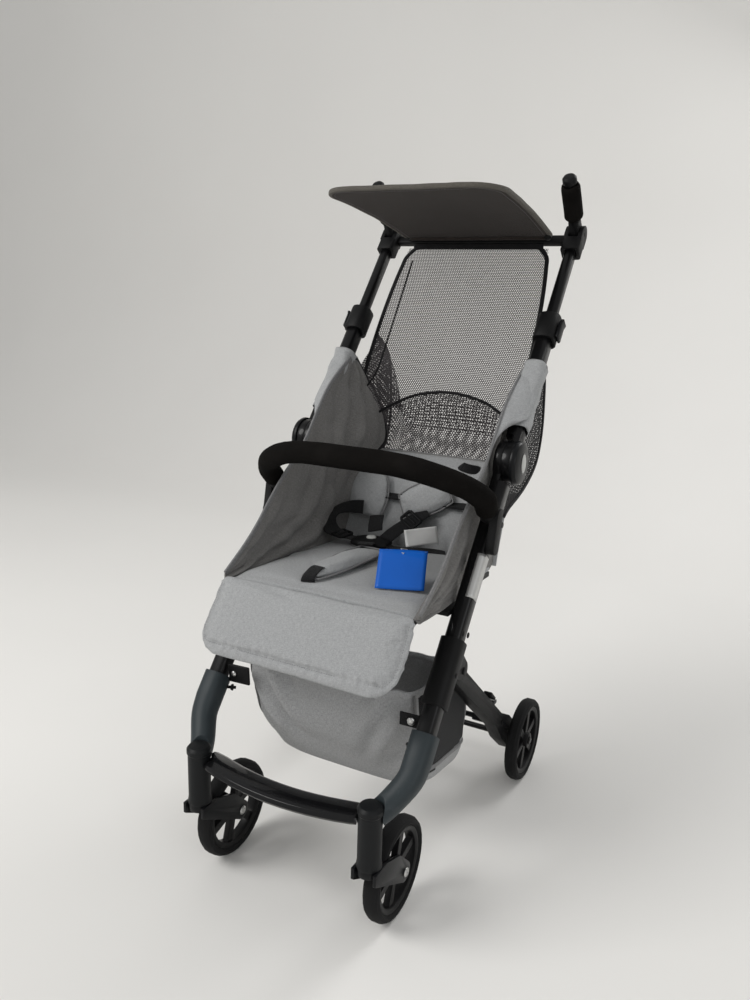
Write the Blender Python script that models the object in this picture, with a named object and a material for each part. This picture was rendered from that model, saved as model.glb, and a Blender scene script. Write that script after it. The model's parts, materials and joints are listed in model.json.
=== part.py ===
"""Compact folding stroller with a telescoping handle, a flat sun canopy, a net back, a bumper bar,
swivelling front wheels and rear legs that fold. X runs across, -Y is the front, Z is up, in metres."""

import math

import bmesh
import bpy
from mathutils import Vector

# Clearances
GAP = 0.0003
RUN = 0.0004
CLOTH_GAP = 0.0006

# Where the middle of the length lies behind the modelling origin
MIDDLE_Y = 0.0099

# Side rails: one straight line each, from the caster to the handle
RAIL_X = 0.166
RAIL_LEAN = math.radians(38.4)
TUBE_WIDE = 0.024
TUBE_DEEP = 0.026
TUBE_CORNER = 0.007
RAIL_LENGTH = 0.2335

# Fold hub
HUB_Y = 0.053
HUB_Z = 0.584
HUB_RADIUS = 0.030
HUB_TUBE_START = 0.038
HUB_PIN_RADIUS = 0.006
HUB_COVER_RADIUS = 0.032
HUB_COVER_THICK = 0.011

# Leg sleeve, its rear lug and the rear leg's pivot
SLEEVE_TOP = 0.273
SLEEVE_LONG = 0.091
SLEEVE_WALL = 0.0045
LUG_RADIUS = 0.014
LUG_THICK = 0.015
LUG_BELOW_SLEEVE_TOP = 0.027
REAR_PIVOT_BEHIND = 0.045
REAR_PIVOT_PIN = 0.005

# Leg moulding that bends in to the caster head
BARE_TUBE_LONG = 0.036
SOCKET_DEPTH = 0.030
MOULDING_STRAIGHT = 0.034
MOULDING_WALL = 0.005

# Casters
CASTER_X = 0.134
CASTER_Y = -0.280
HEAD_BASE_Z = 0.1215
HEAD_TOP_Z = 0.207
HEAD_RADIUS = 0.0155
HEAD_CAP_RADIUS = 0.0168
SWIVEL_PIN_RADIUS = 0.006
SWIVEL_PIN_LONG = 0.060
CROWN_THICK = 0.010
TRAIL = 0.072
FORK_ARM_THICK = 0.0045
FORK_BOSS_RADIUS = 0.014

# Wheels
WHEEL_RADIUS = 0.070
TYRE_DEPTH = 0.012
FRONT_TYRE_WIDE = 0.024
REAR_TYRE_WIDE = 0.022
RIM_DEPTH = 0.0065
SPOKES = 6
SPOKE_WIDE = 0.010
SPOKE_THICK = 0.009
WHEEL_HUB_RADIUS = 0.0125
FRONT_AXLE_RADIUS = 0.004
WHEEL_SIDE_GAP = 0.0012
BOLT_HEAD_RADIUS = 0.0065
BOLT_HEAD_THICK = 0.0025

# Rear legs, axle and brake
REAR_LEG_X = 0.149
REAR_LEG_WIDE = 0.022
REAR_LEG_DEEP = 0.026
REAR_HOUSING_DEEP = 0.044
REAR_HOUSING_LONG = 0.085
REAR_WHEEL_X = 0.177
REAR_AXLE_Y = 0.204
REAR_AXLE_RADIUS = 0.005
BRAKE_ALONG = 0.300
BRAKE_ROD_RADIUS = 0.0045
BRAKE_PEDAL_REACH = 0.034
BRAKE_PEDAL_WIDE = 0.028
BRAKE_PEDAL_THICK = 0.007

# Footrest bar between the casters
FOOTREST_Y = -0.267
FOOTREST_Z = 0.184
FOOTREST_BOW = 0.025
FOOTREST_DEEP = 0.036
FOOTREST_THICK = 0.015

# Handle: telescoping stems, clamps, joint blocks, bridge and folding grips
STEM_WIDE = 0.017
STEM_DEEP = 0.019
STEM_CORNER = 0.005
STEM_TOP = 0.400
STEM_OVERLAP = 0.0385
HANDLE_TRAVEL = 0.125
STEM_END_SPACE = 0.010
CLAMP_LONG = 0.045
CLAMP_SEAT = 0.0225
CLAMP_WALL = 0.0052
LEVER_THICK = 0.005
LEVER_LONG = 0.030
LEVER_DEEP = 0.018
LEVER_TIP_LONG = 0.007
LEVER_TIP_OUT = 0.002
GRIP_PIVOT_RISE = 0.024
JOINT_WALL = 0.0045
JOINT_SOCKET_LONG = 0.016
CHEEK_THICK = 0.0065
CHEEK_RADIUS = 0.0135
GRIP_PIN_RADIUS = 0.0035
GRIP_LEAN = math.radians(39.5)
GRIP_RADIUS = 0.0155
GRIP_START = 0.0285
GRIP_LONG = 0.064
GRIP_CORE_RADIUS = 0.009
GRIP_CAP_RADIUS = 0.0112
GRIP_CAP_LONG = 0.0115
BRIDGE_DEEP = 0.012
BRIDGE_TALL = 0.016
BRIDGE_RISE = 0.013
BRIDGE_BEHIND = 0.002

# Canopy
CANOPY_ROD_RADIUS = 0.005
CANOPY_FRONT_HALF = 0.140
CANOPY_BACK_HALF = 0.131
CANOPY_LONG = 0.281
CANOPY_RISE = math.radians(9.0)
CANOPY_THICK = 0.008
CANOPY_CORNER = 0.045
CANOPY_CROWN = 0.006

# Bumper bar
BUMPER_PIVOT_Y = -0.020
BUMPER_PIVOT_Z = 0.510
BUMPER_PIN_RADIUS = 0.004
BUMPER_END_THICK = 0.0115
BUMPER_END_RADIUS = 0.013
BUMPER_TAIL_RADIUS = 0.01105
BUMPER_HEAD_LONG = 0.016
BUMPER_BOSS_START = 0.019
# The bar's shoulder (in from its side, ahead of and above its elbow) and the point between shoulder
# and front (in from its side, behind and below the front)
BUMPER_SHOULDER = (0.02429, 0.024, 0.017)
BUMPER_QUARTER = (0.08675, 0.010, 0.004)
BUMPER_PADDLE_LONG = 0.034
BUMPER_FOAM_RADIUS = 0.017
BUMPER_FOAM_X = 0.1735
BUMPER_FOAM_START = 0.030
BUMPER_ARM_RISE = math.radians(48.0)
BUMPER_ARM_LONG = 0.034
BUMPER_FRONT_Y = -0.130
BUMPER_FRONT_Z = 0.600
BUMPER_PEG_RADIUS = 0.008
BUMPER_PEG_LONG = 0.024

# Seat, calf rest and harness
SEAT_HALF = 0.1452
SEAT_REAR_HALF = 0.1335
SEAT_FRONT_Y = -0.194
SEAT_REAR_Y = 0.104
SEAT_FRONT_Z = 0.431
SEAT_REAR_Z = 0.417
SEAT_PAD_THICK = 0.020
SEAT_BOARD_THICK = 0.008
SEAT_BOARD_HALF = 0.131
SEAT_EAR_LONG = 0.050
SEAT_NARROW_Y = -0.015
SEAT_NARROW_LONG = 0.030
SEAT_END_INSET = 0.0044
SEAT_END_THINNER = 0.004
CALF_HALF = 0.151
CALF_THICK = 0.020
CALF_LONG = 0.098
CALF_CORNER = 0.042
CALF_LEAN = math.radians(32.0)
CALF_HINGE_INSET = 0.0045
CALF_CROWN = 0.0024
CALF_BEND = 0.010
# Each station of the calf rest: its share of the length, and how full the pad is there
CALF_STATION_SHARES = (
    (0.0, 1.0), (0.2, 1.0), (0.42, 1.0), (0.60, 1.0), (0.74, 1.0), (0.86, 1.0), (0.94, 0.75), (0.985, 0.45),
)
PAD_EDGE_SHARE = 0.35
PAD_STEPS = 20
HARNESS_PAD_THICK = 0.016
BUCKLE_X = -0.048
BUCKLE_Y = 0.044
BUCKLE_THICK = 0.018
BUTTON_RADIUS = 0.008
BUTTON_TRAVEL = 0.0016
BUCKLE_WIDE = 0.060
BUCKLE_SKEW = 0.003
BUCKLE_HALVES = (0.015, 0.020, 0.021, 0.020, 0.015)
# Crotch pad: its two ends as (x, y) on the seat, and its half width at even stations
CROTCH_PAD_FRONT = (-0.031, -0.162)
CROTCH_PAD_REAR = (-0.024, 0.004)
CROTCH_PAD_HALVES = (0.014, 0.021, 0.025, 0.027, 0.026, 0.020)
# Each shoulder pad: its two ends as (x, height along the back), and its half widths
LEFT_SHOULDER_PAD = ((-0.096, 0.028), (-0.096, 0.102), (0.028, 0.035, 0.037, 0.035, 0.028))
RIGHT_SHOULDER_PAD = ((-0.032, 0.052), (0.048, 0.090), (0.020, 0.026, 0.028, 0.026, 0.020))

# Cloth sides, back and basket
CLOTH_THICK = 0.004
WING_TOP_ALONG = 0.166
WING_SLEEVE_THICK = 0.003
WING_TOP_SLANT = 0.030
WING_TOP_DEEP = 0.040
# The panel's front edge: where it lies on the rail as (below its top, ahead of the rail's middle),
# then down to the seat's front as (y, z)
WING_RAIL_EDGE = ((0.004, -0.002), (0.066, 0.004), (0.166, 0.008))
WING_FRONT_EDGE = ((-0.015, 0.5225), (-0.060, 0.500), (-0.103, 0.482), (-0.156, 0.454), (-0.188, 0.434))
# The panel's rear and lower edge below its top, as (y, z)
WING_REAR_EDGE = (
    (0.166, 0.650), (0.185, 0.600), (0.186, 0.572), (0.144, 0.531),
    (0.117, 0.478), (0.060, 0.430), (-0.178, 0.420),
)
WING_DRAW_START = 0.004
WING_DRAW_LONG = 0.026
BACK_HALF = 0.1465
BACK_FLAP_HALF = 0.130
BACK_LOW_Y = 0.112
BACK_LOW_Z = 0.4215
BACK_SHELL_TOP_Y = 0.214
BACK_SHELL_TOP_Z = 0.655
# Where the back shell's cheeks end above the rear legs, as a (y, z) outline of what is cut away
BACK_CHEEK_CUT = (
    (-0.05, 0.496), (0.056, 0.509), (0.122, 0.519), (0.186, 0.538),
    (0.25, 0.545), (0.25, 0.40), (-0.05, 0.40),
)
# The back shell's curve between its top and its foot, as (y, z)
BACK_SHELL_CURVE = ((0.222, 0.600), (0.205, 0.562), (0.165, 0.538))
BACK_FOOT_RISE = (0.028, 0.084)
BACK_CHEEK_BEHIND = 0.040
BACK_CHEEK_TOP_ALONG = 0.090
BACK_CHEEK_LOW_ALONG = -0.050
BACK_CHEEK_FRONT = (0.096, 0.470)
NET_TOP_HALF = 0.126
NET_SIDE_BEHIND = 0.048
NET_SAG = 0.012
NET_THICK = 0.0025
NET_COLUMNS = 11
NET_ROWS = 8
NET_STRAND_SHARE = 0.30
BASKET_HALF = 0.1365
BASKET_FRONT_TOP_Y = -0.176
BASKET_FRONT_LOW_Y = -0.186
BASKET_REAR_Y = 0.040
BASKET_REAR_DROP = 0.030
BASKET_WALL = 0.003
BASKET_BASE_Z = 0.150
BASKET_TOP_Z = 0.300
BASKET_TAB_LONG = 0.026
BASKET_TAB_TALL = 0.042


def material(name, colour, roughness, metallic=0.0):
    finish = bpy.data.materials.new(name)
    finish.use_nodes = True
    shader = finish.node_tree.nodes["Principled BSDF"]
    shader.inputs["Base Color"].default_value = (*colour, 1)
    shader.inputs["Roughness"].default_value = roughness
    shader.inputs["Metallic"].default_value = metallic
    finish.diffuse_color = (*colour, 1)
    return finish


def rail_line(along, ahead=0.0):
    """(y, z) of a point on the rails' line, so far up from the hub and so far in front of the line."""
    rise, run = math.cos(RAIL_LEAN), math.sin(RAIL_LEAN)
    return HUB_Y + along * run - ahead * rise, HUB_Z + along * rise + ahead * run


def rail_point(side, along, ahead=0.0, out=0.0):
    return Vector((side * (RAIL_X + out), *rail_line(along, ahead)))


def arc(centre, radius, start, end, steps):
    """Points of a (y, z) arc, with its angles in degrees from +Y towards +Z."""
    return [
        (
            centre[0] + radius * math.cos(math.radians(start + (end - start) * i / steps)),
            centre[1] + radius * math.sin(math.radians(start + (end - start) * i / steps)),
        )
        for i in range(steps + 1)
    ]


def rounded_rectangle(wide, tall, corner, steps=3):
    """A closed outline about its own middle, with each corner an arc."""
    outline = []
    for quarter, (a, b) in enumerate(((1, 1), (-1, 1), (-1, -1), (1, -1))):
        centre = (a * (wide / 2 - corner), b * (tall / 2 - corner))
        outline += arc(centre, corner, 90 * quarter, 90 * quarter + 90, steps)
    return outline


def ellipse(wide, tall, steps=12):
    return [
        (wide / 2 * math.cos(2 * math.pi * i / steps), tall / 2 * math.sin(2 * math.pi * i / steps))
        for i in range(steps)
    ]


def finished(name, mesh, finish, sharp=40):
    """Turns a bmesh into a named object that hangs from the stroller's own empty."""
    bmesh.ops.recalc_face_normals(mesh, faces=mesh.faces)
    data = bpy.data.meshes.new(name)
    mesh.to_mesh(data)
    mesh.free()
    data.materials.append(finish)
    data.shade_smooth()
    data.set_sharp_from_angle(angle=math.radians(sharp))
    body = bpy.data.objects.new(name, data)
    bpy.context.scene.collection.objects.link(body)
    body.parent = PIVOTS["stroller"][0]
    return body


def loft(name, rings, finish, sharp=40):
    """One closed skin through rings of equally many points, with a face over each end."""
    mesh = bmesh.new()
    loops = [[mesh.verts.new(point) for point in ring] for ring in rings]
    for low, high in zip(loops, loops[1:]):
        for i in range(len(low)):
            j = (i + 1) % len(low)
            mesh.faces.new((low[i], low[j], high[j], high[i]))
    mesh.faces.new(loops[0])
    mesh.faces.new(loops[-1])
    return finished(name, mesh, finish, sharp)


def prism(name, outline, x_low, x_high, finish):
    """A (y, z) outline pushed along X."""
    rings = [[Vector((x, y, z)) for y, z in outline] for x in sorted((x_low, x_high))]
    return loft(name, rings, finish, 30)


def turned(name, profile, centre, axis, finish, steps=24, ring=False):
    """A profile of (radius, distance along) turned round an axis. A ring's profile closes on itself."""
    axis = Vector(axis).normalized()
    first = axis.orthogonal().normalized()
    second = axis.cross(first)
    mesh = bmesh.new()
    loops = []
    for radius, along in profile:
        middle = Vector(centre) + axis * along
        if radius == 0:
            loops.append([mesh.verts.new(middle)])
            continue
        angles = [2 * math.pi * i / steps for i in range(steps)]
        loops.append(
            [mesh.verts.new(middle + radius * (math.cos(a) * first + math.sin(a) * second)) for a in angles]
        )
    pairs = list(zip(loops, loops[1:]))
    if ring:
        pairs.append((loops[-1], loops[0]))
    for low, high in pairs:
        for i in range(steps):
            j = (i + 1) % steps
            if len(low) == 1:
                mesh.faces.new((low[0], high[j], high[i]))
            elif len(high) == 1:
                mesh.faces.new((low[i], low[j], high[0]))
            else:
                mesh.faces.new((low[i], low[j], high[j], high[i]))
    return finished(name, mesh, finish)


def rod(name, start, end, radius, finish, steps=16):
    start, end = Vector(start), Vector(end)
    profile = [(0, 0), (radius, 0), (radius, (end - start).length), (0, (end - start).length)]
    return turned(name, profile, start, end - start, finish, steps)


def swept(name, path, outlines, across, finish, sharp=40):
    """Outlines carried along a path; their first measure lies along `across`, as far as the path allows."""
    rings = []
    for i, point in enumerate(path):
        run = (path[min(i + 1, len(path) - 1)] - path[max(i - 1, 0)]).normalized()
        side = (across - across.dot(run) * run).normalized()
        lift = run.cross(side)
        rings.append([point + a * side + b * lift for a, b in outlines[i]])
    return loft(name, rings, finish, sharp)


def smooth_path(points, steps):
    """A Catmull-Rom curve through the points, with so many steps in each stretch."""
    ends = [2 * points[0] - points[1], *points, 2 * points[-1] - points[-2]]
    path = []
    for a, b, c, d in zip(ends, ends[1:], ends[2:], ends[3:]):
        for k in range(steps):
            t = k / steps
            path.append(
                0.5
                * (2 * b + (c - a) * t + (2 * a - 5 * b + 4 * c - d) * t**2 + (3 * b - a - 3 * c + d) * t**3)
            )
    return path + [points[-1]]


def rail_bar(name, side, low, high, wide, deep, corner, finish, ahead=0.0):
    """A straight bar of rounded rectangular section along a rail."""
    outline = rounded_rectangle(wide, deep, corner)
    rings = []
    for along in (low, high):
        rings.append([rail_point(side, along, ahead + b, a) for a, b in outline])
    return loft(name, rings, finish)


def shape_with(body, tool, operation):
    change = body.modifiers.new(tool.name, "BOOLEAN")
    change.object = tool
    change.operation = operation
    change.solver = "EXACT"
    tool.hide_render = True
    tool.display_type = "WIRE"
    return body


def join(body, *tools):
    for tool in tools:
        shape_with(body, tool, "UNION")
    return body


def cut(body, *tools):
    for tool in tools:
        shape_with(body, tool, "DIFFERENCE")
    return body


PIVOTS = {}


def pivot(name, point, carrier=None):
    """An empty on a joint's axis, hung from the empty of the body that carries it."""
    empty = bpy.data.objects.new("pivot_" + name, None)
    empty.empty_display_size = 0.02
    bpy.context.scene.collection.objects.link(empty)
    point = Vector(point)
    if carrier is None:
        empty.location = (0, -MIDDLE_Y, 0)
    else:
        empty.parent = PIVOTS[carrier][0]
        empty.location = point - PIVOTS[carrier][1]
    PIVOTS[name] = (empty, point)


def hang(name, *bodies):
    """Parents each body to a pivot, with its place kept."""
    empty, point = PIVOTS[name]
    for body in bodies:
        body.parent = empty
        body.location = -point
        for change in body.modifiers:
            if change.type == "BOOLEAN":
                hang(name, change.object)


def side_name(name, side):
    return name + ("_right" if side > 0 else "_left")


# Places worked out from the sizes above
LEG_DIRECTION = Vector((0, math.sin(RAIL_LEAN), math.cos(RAIL_LEAN)))
STEM_LENGTH = STEM_TOP - RAIL_LENGTH + STEM_OVERLAP
MOULDING_TOP = SLEEVE_TOP + SLEEVE_LONG + BARE_TUBE_LONG
LEG_LENGTH = MOULDING_TOP + SOCKET_DEPTH
REAR_PIVOT_ALONG = SLEEVE_TOP + LUG_BELOW_SLEEVE_TOP
REAR_PIVOT = rail_line(-REAR_PIVOT_ALONG, -REAR_PIVOT_BEHIND)
REAR_LEG_SPAN = (REAR_AXLE_Y - REAR_PIVOT[0], WHEEL_RADIUS - REAR_PIVOT[1])
REAR_LEG_LENGTH = math.hypot(*REAR_LEG_SPAN)
REAR_LEG_ANGLE = math.degrees(math.atan2(REAR_LEG_SPAN[1], REAR_LEG_SPAN[0]))
GRIP_PIVOT_ALONG = STEM_TOP + GRIP_PIVOT_RISE
BRIDGE_ALONG = STEM_TOP + BRIDGE_RISE
GRIP_PIVOT = rail_line(GRIP_PIVOT_ALONG)
GRIP_ANGLE = 90 + math.degrees(GRIP_LEAN)
BRIDGE_FRONT = -BRIDGE_BEHIND + BRIDGE_DEEP / 2
CANOPY_PIVOT = rail_line(BRIDGE_ALONG, BRIDGE_FRONT + GAP + CANOPY_ROD_RADIUS)
LEVER_X = RAIL_X + TUBE_WIDE / 2 + CLAMP_WALL + GAP + LEVER_THICK / 2
LEVER_ALONG = RAIL_LENGTH - CLAMP_SEAT + 0.008
CALF_PIVOT = (SEAT_FRONT_Y - GAP - CALF_THICK / 2, SEAT_FRONT_Z - SEAT_PAD_THICK / 2 - GAP)
FRONT_AXLE_Y = CASTER_Y + TRAIL
BRAKE_PIVOT = (
    REAR_PIVOT[0] + REAR_LEG_SPAN[0] * BRAKE_ALONG / REAR_LEG_LENGTH,
    REAR_PIVOT[1] + REAR_LEG_SPAN[1] * BRAKE_ALONG / REAR_LEG_LENGTH,
)


def make_pivots():
    pivot("stroller", (0, 0, 0))
    pivot("fold", (0, HUB_Y, HUB_Z), "stroller")
    pivot("handle", (0, *rail_line(STEM_TOP)), "fold")
    pivot("canopy", (0, *CANOPY_PIVOT), "handle")
    pivot("bumper_ends", (0, BUMPER_PIVOT_Y, BUMPER_PIVOT_Z), "stroller")
    pivot("bumper", (0, BUMPER_PIVOT_Y, BUMPER_PIVOT_Z), "bumper_ends")
    pivot("calf_rest", (0, *CALF_PIVOT), "stroller")
    pivot("rear_legs", (0, *REAR_PIVOT), "stroller")
    pivot("brake", (0, *BRAKE_PIVOT), "rear_legs")
    pivot("buckle_button", (BUCKLE_X, BUCKLE_Y, seat_top(BUCKLE_Y)), "stroller")
    for side in (-1, 1):
        pivot(side_name("grip", side), (side * RAIL_X, *GRIP_PIVOT), "handle")
        pivot(side_name("lever", side), (side * LEVER_X, *rail_line(LEVER_ALONG)), "fold")
        caster = side_name("caster", side)
        pivot(caster, (side * CASTER_X, CASTER_Y, HEAD_BASE_Z), "stroller")
        pivot(side_name("front_wheel", side), (side * CASTER_X, FRONT_AXLE_Y, WHEEL_RADIUS), caster)
        pivot(side_name("rear_wheel", side), (side * REAR_WHEEL_X, REAR_AXLE_Y, WHEEL_RADIUS), "rear_legs")


def hub_plate(name, side, x_low, x_high, way, finish):
    """A hub's round plate with the tongue that runs from it into a tube's end, up (1) or down (-1)."""
    half = TUBE_DEEP / 2 - GAP
    along_rail = 90 - math.degrees(RAIL_LEAN) + (0 if way > 0 else 180)
    neck = math.degrees(math.asin(half / HUB_RADIUS))
    outline = arc((HUB_Y, HUB_Z), HUB_RADIUS, along_rail + neck, along_rail + 360 - neck, 18)
    reach = way * (HUB_TUBE_START + TUBE_WIDE / 2)
    outline += [rail_line(reach, -way * half), rail_line(reach, way * half)]
    return prism(name, outline, side * x_low, side * x_high, finish)


def make_leg_tubes():
    for side in (-1, 1):
        name = side_name("leg_tube", side)
        tube = rail_bar(
            name, side, -LEG_LENGTH, -HUB_TUBE_START, TUBE_WIDE, TUBE_DEEP, TUBE_CORNER, BLACK_METAL
        )
        inner = RAIL_X - TUBE_WIDE / 2 + GAP
        plate = hub_plate(name + "_plate", side, inner, RAIL_X - GAP, -1, BLACK_METAL)
        pin_end = RAIL_X + TUBE_WIDE / 2 + GAP + BUMPER_END_THICK
        pin = rod(
            name + "_pin",
            (side * (RAIL_X + TUBE_WIDE / 4), BUMPER_PIVOT_Y, BUMPER_PIVOT_Z),
            (side * pin_end, BUMPER_PIVOT_Y, BUMPER_PIVOT_Z),
            BUMPER_PIN_RADIUS,
            BLACK_METAL,
        )
        join(tube, plate, pin)
        cut(tube, hub_bore(name + "_bore", side))


def hub_bore(name, side):
    return rod(
        name,
        (side * (RAIL_X - TUBE_WIDE), HUB_Y, HUB_Z),
        (side * (RAIL_X + TUBE_WIDE), HUB_Y, HUB_Z),
        HUB_PIN_RADIUS + RUN,
        BLACK_METAL,
    )


def make_rails():
    """The upper tubes, bored for the stems, each with its half of the hub."""
    for side in (-1, 1):
        name = side_name("rail", side)
        tube = rail_bar(
            name, side, HUB_TUBE_START, RAIL_LENGTH, TUBE_WIDE, TUBE_DEEP, TUBE_CORNER, BLACK_METAL
        )
        outer = RAIL_X + TUBE_WIDE / 2 - GAP
        plate = hub_plate(name + "_plate", side, RAIL_X + GAP, outer, 1, BLACK_METAL)
        stem_low = STEM_TOP - STEM_LENGTH - HANDLE_TRAVEL - STEM_END_SPACE
        bore = rail_bar(
            name + "_stem_bore",
            side,
            stem_low,
            RAIL_LENGTH + 0.01,
            STEM_WIDE + 2 * RUN,
            STEM_DEEP + 2 * RUN,
            STEM_CORNER,
            BLACK_METAL,
        )
        join(tube, plate)
        cut(tube, bore, hub_bore(name + "_bore", side))
        hang("fold", tube)


def make_hub_covers():
    for side in (-1, 1):
        face = RAIL_X + TUBE_WIDE / 2 + GAP
        pin_in = -(TUBE_WIDE + GAP)
        thick, radius = HUB_COVER_THICK, HUB_COVER_RADIUS
        profile = [
            (0, pin_in),
            (HUB_PIN_RADIUS, pin_in),
            (HUB_PIN_RADIUS, 0),
            (radius, 0),
            (radius, thick * 0.45),
            (radius * 0.93, thick * 0.78),
            (radius * 0.74, thick),
            (0, thick),
        ]
        cover = turned(
            side_name("hub_cover", side), profile, (side * face, HUB_Y, HUB_Z), (side, 0, 0), SATIN_BLACK, 28
        )
        hang("fold", cover)


def make_sleeves():
    """A sleeve round each leg tube, with the lug that the rear leg swings on."""
    wide, deep = TUBE_WIDE + 2 * SLEEVE_WALL, TUBE_DEEP + 2 * SLEEVE_WALL
    lug_in = REAR_LEG_X + REAR_LEG_WIDE / 2 + GAP
    lean = 90 - math.degrees(RAIL_LEAN)
    for side in (-1, 1):
        name = side_name("leg_sleeve", side)
        low, high = -SLEEVE_TOP - SLEEVE_LONG, -SLEEVE_TOP
        sleeve = rail_bar(name, side, low, high, wide, deep, TUBE_CORNER + SLEEVE_WALL, BLACK_PLASTIC)
        behind = -TUBE_DEEP / 2 - GAP
        outline = [
            *arc(REAR_PIVOT, LUG_RADIUS, lean + 180, lean + 360, 12),
            rail_line(-REAR_PIVOT_ALONG + 1.4 * LUG_RADIUS, behind),
            rail_line(-REAR_PIVOT_ALONG - 1.4 * LUG_RADIUS, behind),
        ]
        lug = prism(name + "_lug", outline, side * lug_in, side * (lug_in + LUG_THICK), BLACK_PLASTIC)
        tube_hole = rail_bar(
            name + "_hole",
            side,
            low - 0.01,
            high + 0.01,
            TUBE_WIDE + 2 * GAP,
            TUBE_DEEP + 2 * GAP,
            TUBE_CORNER,
            BLACK_PLASTIC,
        )
        pin_hole = rod(
            name + "_pin_hole",
            (side * (lug_in - 0.01), *REAR_PIVOT),
            (side * (lug_in + LUG_THICK + 0.01), *REAR_PIVOT),
            REAR_PIVOT_PIN + RUN,
            BLACK_PLASTIC,
        )
        join(sleeve, lug)
        cut(sleeve, tube_hole, pin_hole)


def make_mouldings():
    """The sockets that take the leg tubes and bend in to the caster heads."""
    wide, deep = TUBE_WIDE + 2 * MOULDING_WALL, TUBE_DEEP + 2 * MOULDING_WALL
    for side in (-1, 1):
        name = side_name("leg_moulding", side)
        top = rail_point(side, -MOULDING_TOP)
        straight = rail_point(side, -MOULDING_TOP - MOULDING_STRAIGHT)
        head = Vector((side * CASTER_X, CASTER_Y, HEAD_TOP_Z - 0.020))
        knee = straight - 0.026 * LEG_DIRECTION
        knee.x -= side * 0.003
        approach = head + Vector((side * 0.013, 0.024, 0.012))
        path = [top] + smooth_path([straight, knee, approach, head], 4)
        outlines = []
        for i in range(len(path)):
            share = max(0, i - 1) / (len(path) - 2)
            outlines.append(
                rounded_rectangle(wide - 0.004 * share, deep - 0.005 * share, 0.012 + 0.002 * share)
            )
        across = Vector((1, 0, 0))
        moulding = swept(name, path, outlines, across, SLATE_PLASTIC)
        socket = rail_bar(
            name + "_socket",
            side,
            -LEG_LENGTH - GAP,
            -MOULDING_TOP + 0.02,
            TUBE_WIDE + 2 * GAP,
            TUBE_DEEP + 2 * GAP,
            TUBE_CORNER,
            SLATE_PLASTIC,
        )
        cut(moulding, socket, head_clearance(name, side))


def head_clearance(name, side):
    return rod(
        name + "_head_clearance",
        (side * CASTER_X, CASTER_Y, HEAD_BASE_Z - 0.02),
        (side * CASTER_X, CASTER_Y, HEAD_TOP_Z + 0.03),
        (HEAD_CAP_RADIUS + GAP) / math.cos(math.pi / 32),
        SLATE_PLASTIC,
        32,
    )


def make_caster_heads():
    pin_room = HEAD_BASE_Z + SWIVEL_PIN_LONG + RUN
    profile = [
        (SWIVEL_PIN_RADIUS + RUN, HEAD_BASE_Z),
        (HEAD_RADIUS + 0.0012, HEAD_BASE_Z),
        (HEAD_RADIUS + 0.0010, HEAD_BASE_Z + 0.004),
        (HEAD_RADIUS, HEAD_BASE_Z + 0.010),
        (HEAD_RADIUS, HEAD_TOP_Z - 0.012),
        (HEAD_CAP_RADIUS, HEAD_TOP_Z - 0.010),
        (HEAD_CAP_RADIUS, HEAD_TOP_Z - 0.004),
        (HEAD_CAP_RADIUS * 0.82, HEAD_TOP_Z),
        (0, HEAD_TOP_Z + 0.0012),
    ]
    room = [(0, pin_room), (SWIVEL_PIN_RADIUS + RUN, pin_room)]
    for side in (-1, 1):
        turned(
            side_name("caster_head", side),
            room + profile,
            (side * CASTER_X, CASTER_Y, 0),
            (0, 0, 1),
            CHARCOAL_PLASTIC,
            24,
        )


def make_forks():
    """A swivel pin, a crown under the head, and an arm down each side of the wheel."""
    crown_top = HEAD_BASE_Z - GAP
    crown_low = crown_top - CROWN_THICK
    arm_in = FRONT_TYRE_WIDE / 2 + WHEEL_SIDE_GAP
    for side in (-1, 1):
        name = side_name("caster_fork", side)
        centre = (side * CASTER_X, CASTER_Y, 0)
        profile = [
            (0, crown_low),
            (HEAD_RADIUS, crown_low),
            (HEAD_RADIUS, crown_top),
            (SWIVEL_PIN_RADIUS, crown_top),
            (SWIVEL_PIN_RADIUS, HEAD_BASE_Z + SWIVEL_PIN_LONG),
            (0, HEAD_BASE_Z + SWIVEL_PIN_LONG),
        ]
        fork = turned(name, profile, centre, (0, 0, 1), SATIN_BLACK, 20)
        front = CASTER_Y - HEAD_RADIUS + 0.001
        axle = (FRONT_AXLE_Y, WHEEL_RADIUS)
        outline = [
            (front, crown_top - 0.0005),
            (front, crown_low - 0.006),
            *arc(axle, FORK_BOSS_RADIUS, 225, 400, 10),
            (FRONT_AXLE_Y - 0.018, crown_low - 0.004),
            (CASTER_Y + HEAD_RADIUS, crown_top - 0.0005),
        ]
        for inward in (-1, 1):
            near = side * CASTER_X + inward * arm_in
            arm = prism(
                f"{name}_arm_{inward + 1}", outline, near, near + inward * FORK_ARM_THICK, SATIN_BLACK
            )
            join(fork, arm)
        wheel_room = rod(
            name + "_wheel_room",
            (side * CASTER_X - arm_in, *axle),
            (side * CASTER_X + arm_in, *axle),
            WHEEL_RADIUS + 0.002,
            SATIN_BLACK,
            32,
        )
        axle_hole = rod(
            name + "_axle_hole",
            (side * CASTER_X - 2 * arm_in, *axle),
            (side * CASTER_X + 2 * arm_in, *axle),
            FRONT_AXLE_RADIUS + GAP,
            SATIN_BLACK,
        )
        cut(fork, wheel_room, axle_hole)
        hang(side_name("caster", side), fork)


def bolt(name, centre, reach, radius, head_radius, head_thick, finish):
    """A shaft across X with a low head outside each end of its reach."""
    profile = [
        (0, -reach - head_thick),
        (head_radius * 0.7, -reach - head_thick),
        (head_radius, -reach - head_thick * 0.5),
        (head_radius, -reach),
        (radius, -reach),
        (radius, reach),
        (head_radius, reach),
        (head_radius, reach + head_thick * 0.5),
        (head_radius * 0.7, reach + head_thick),
        (0, reach + head_thick),
    ]
    return turned(name, profile, centre, (1, 0, 0), finish, 16)


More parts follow.
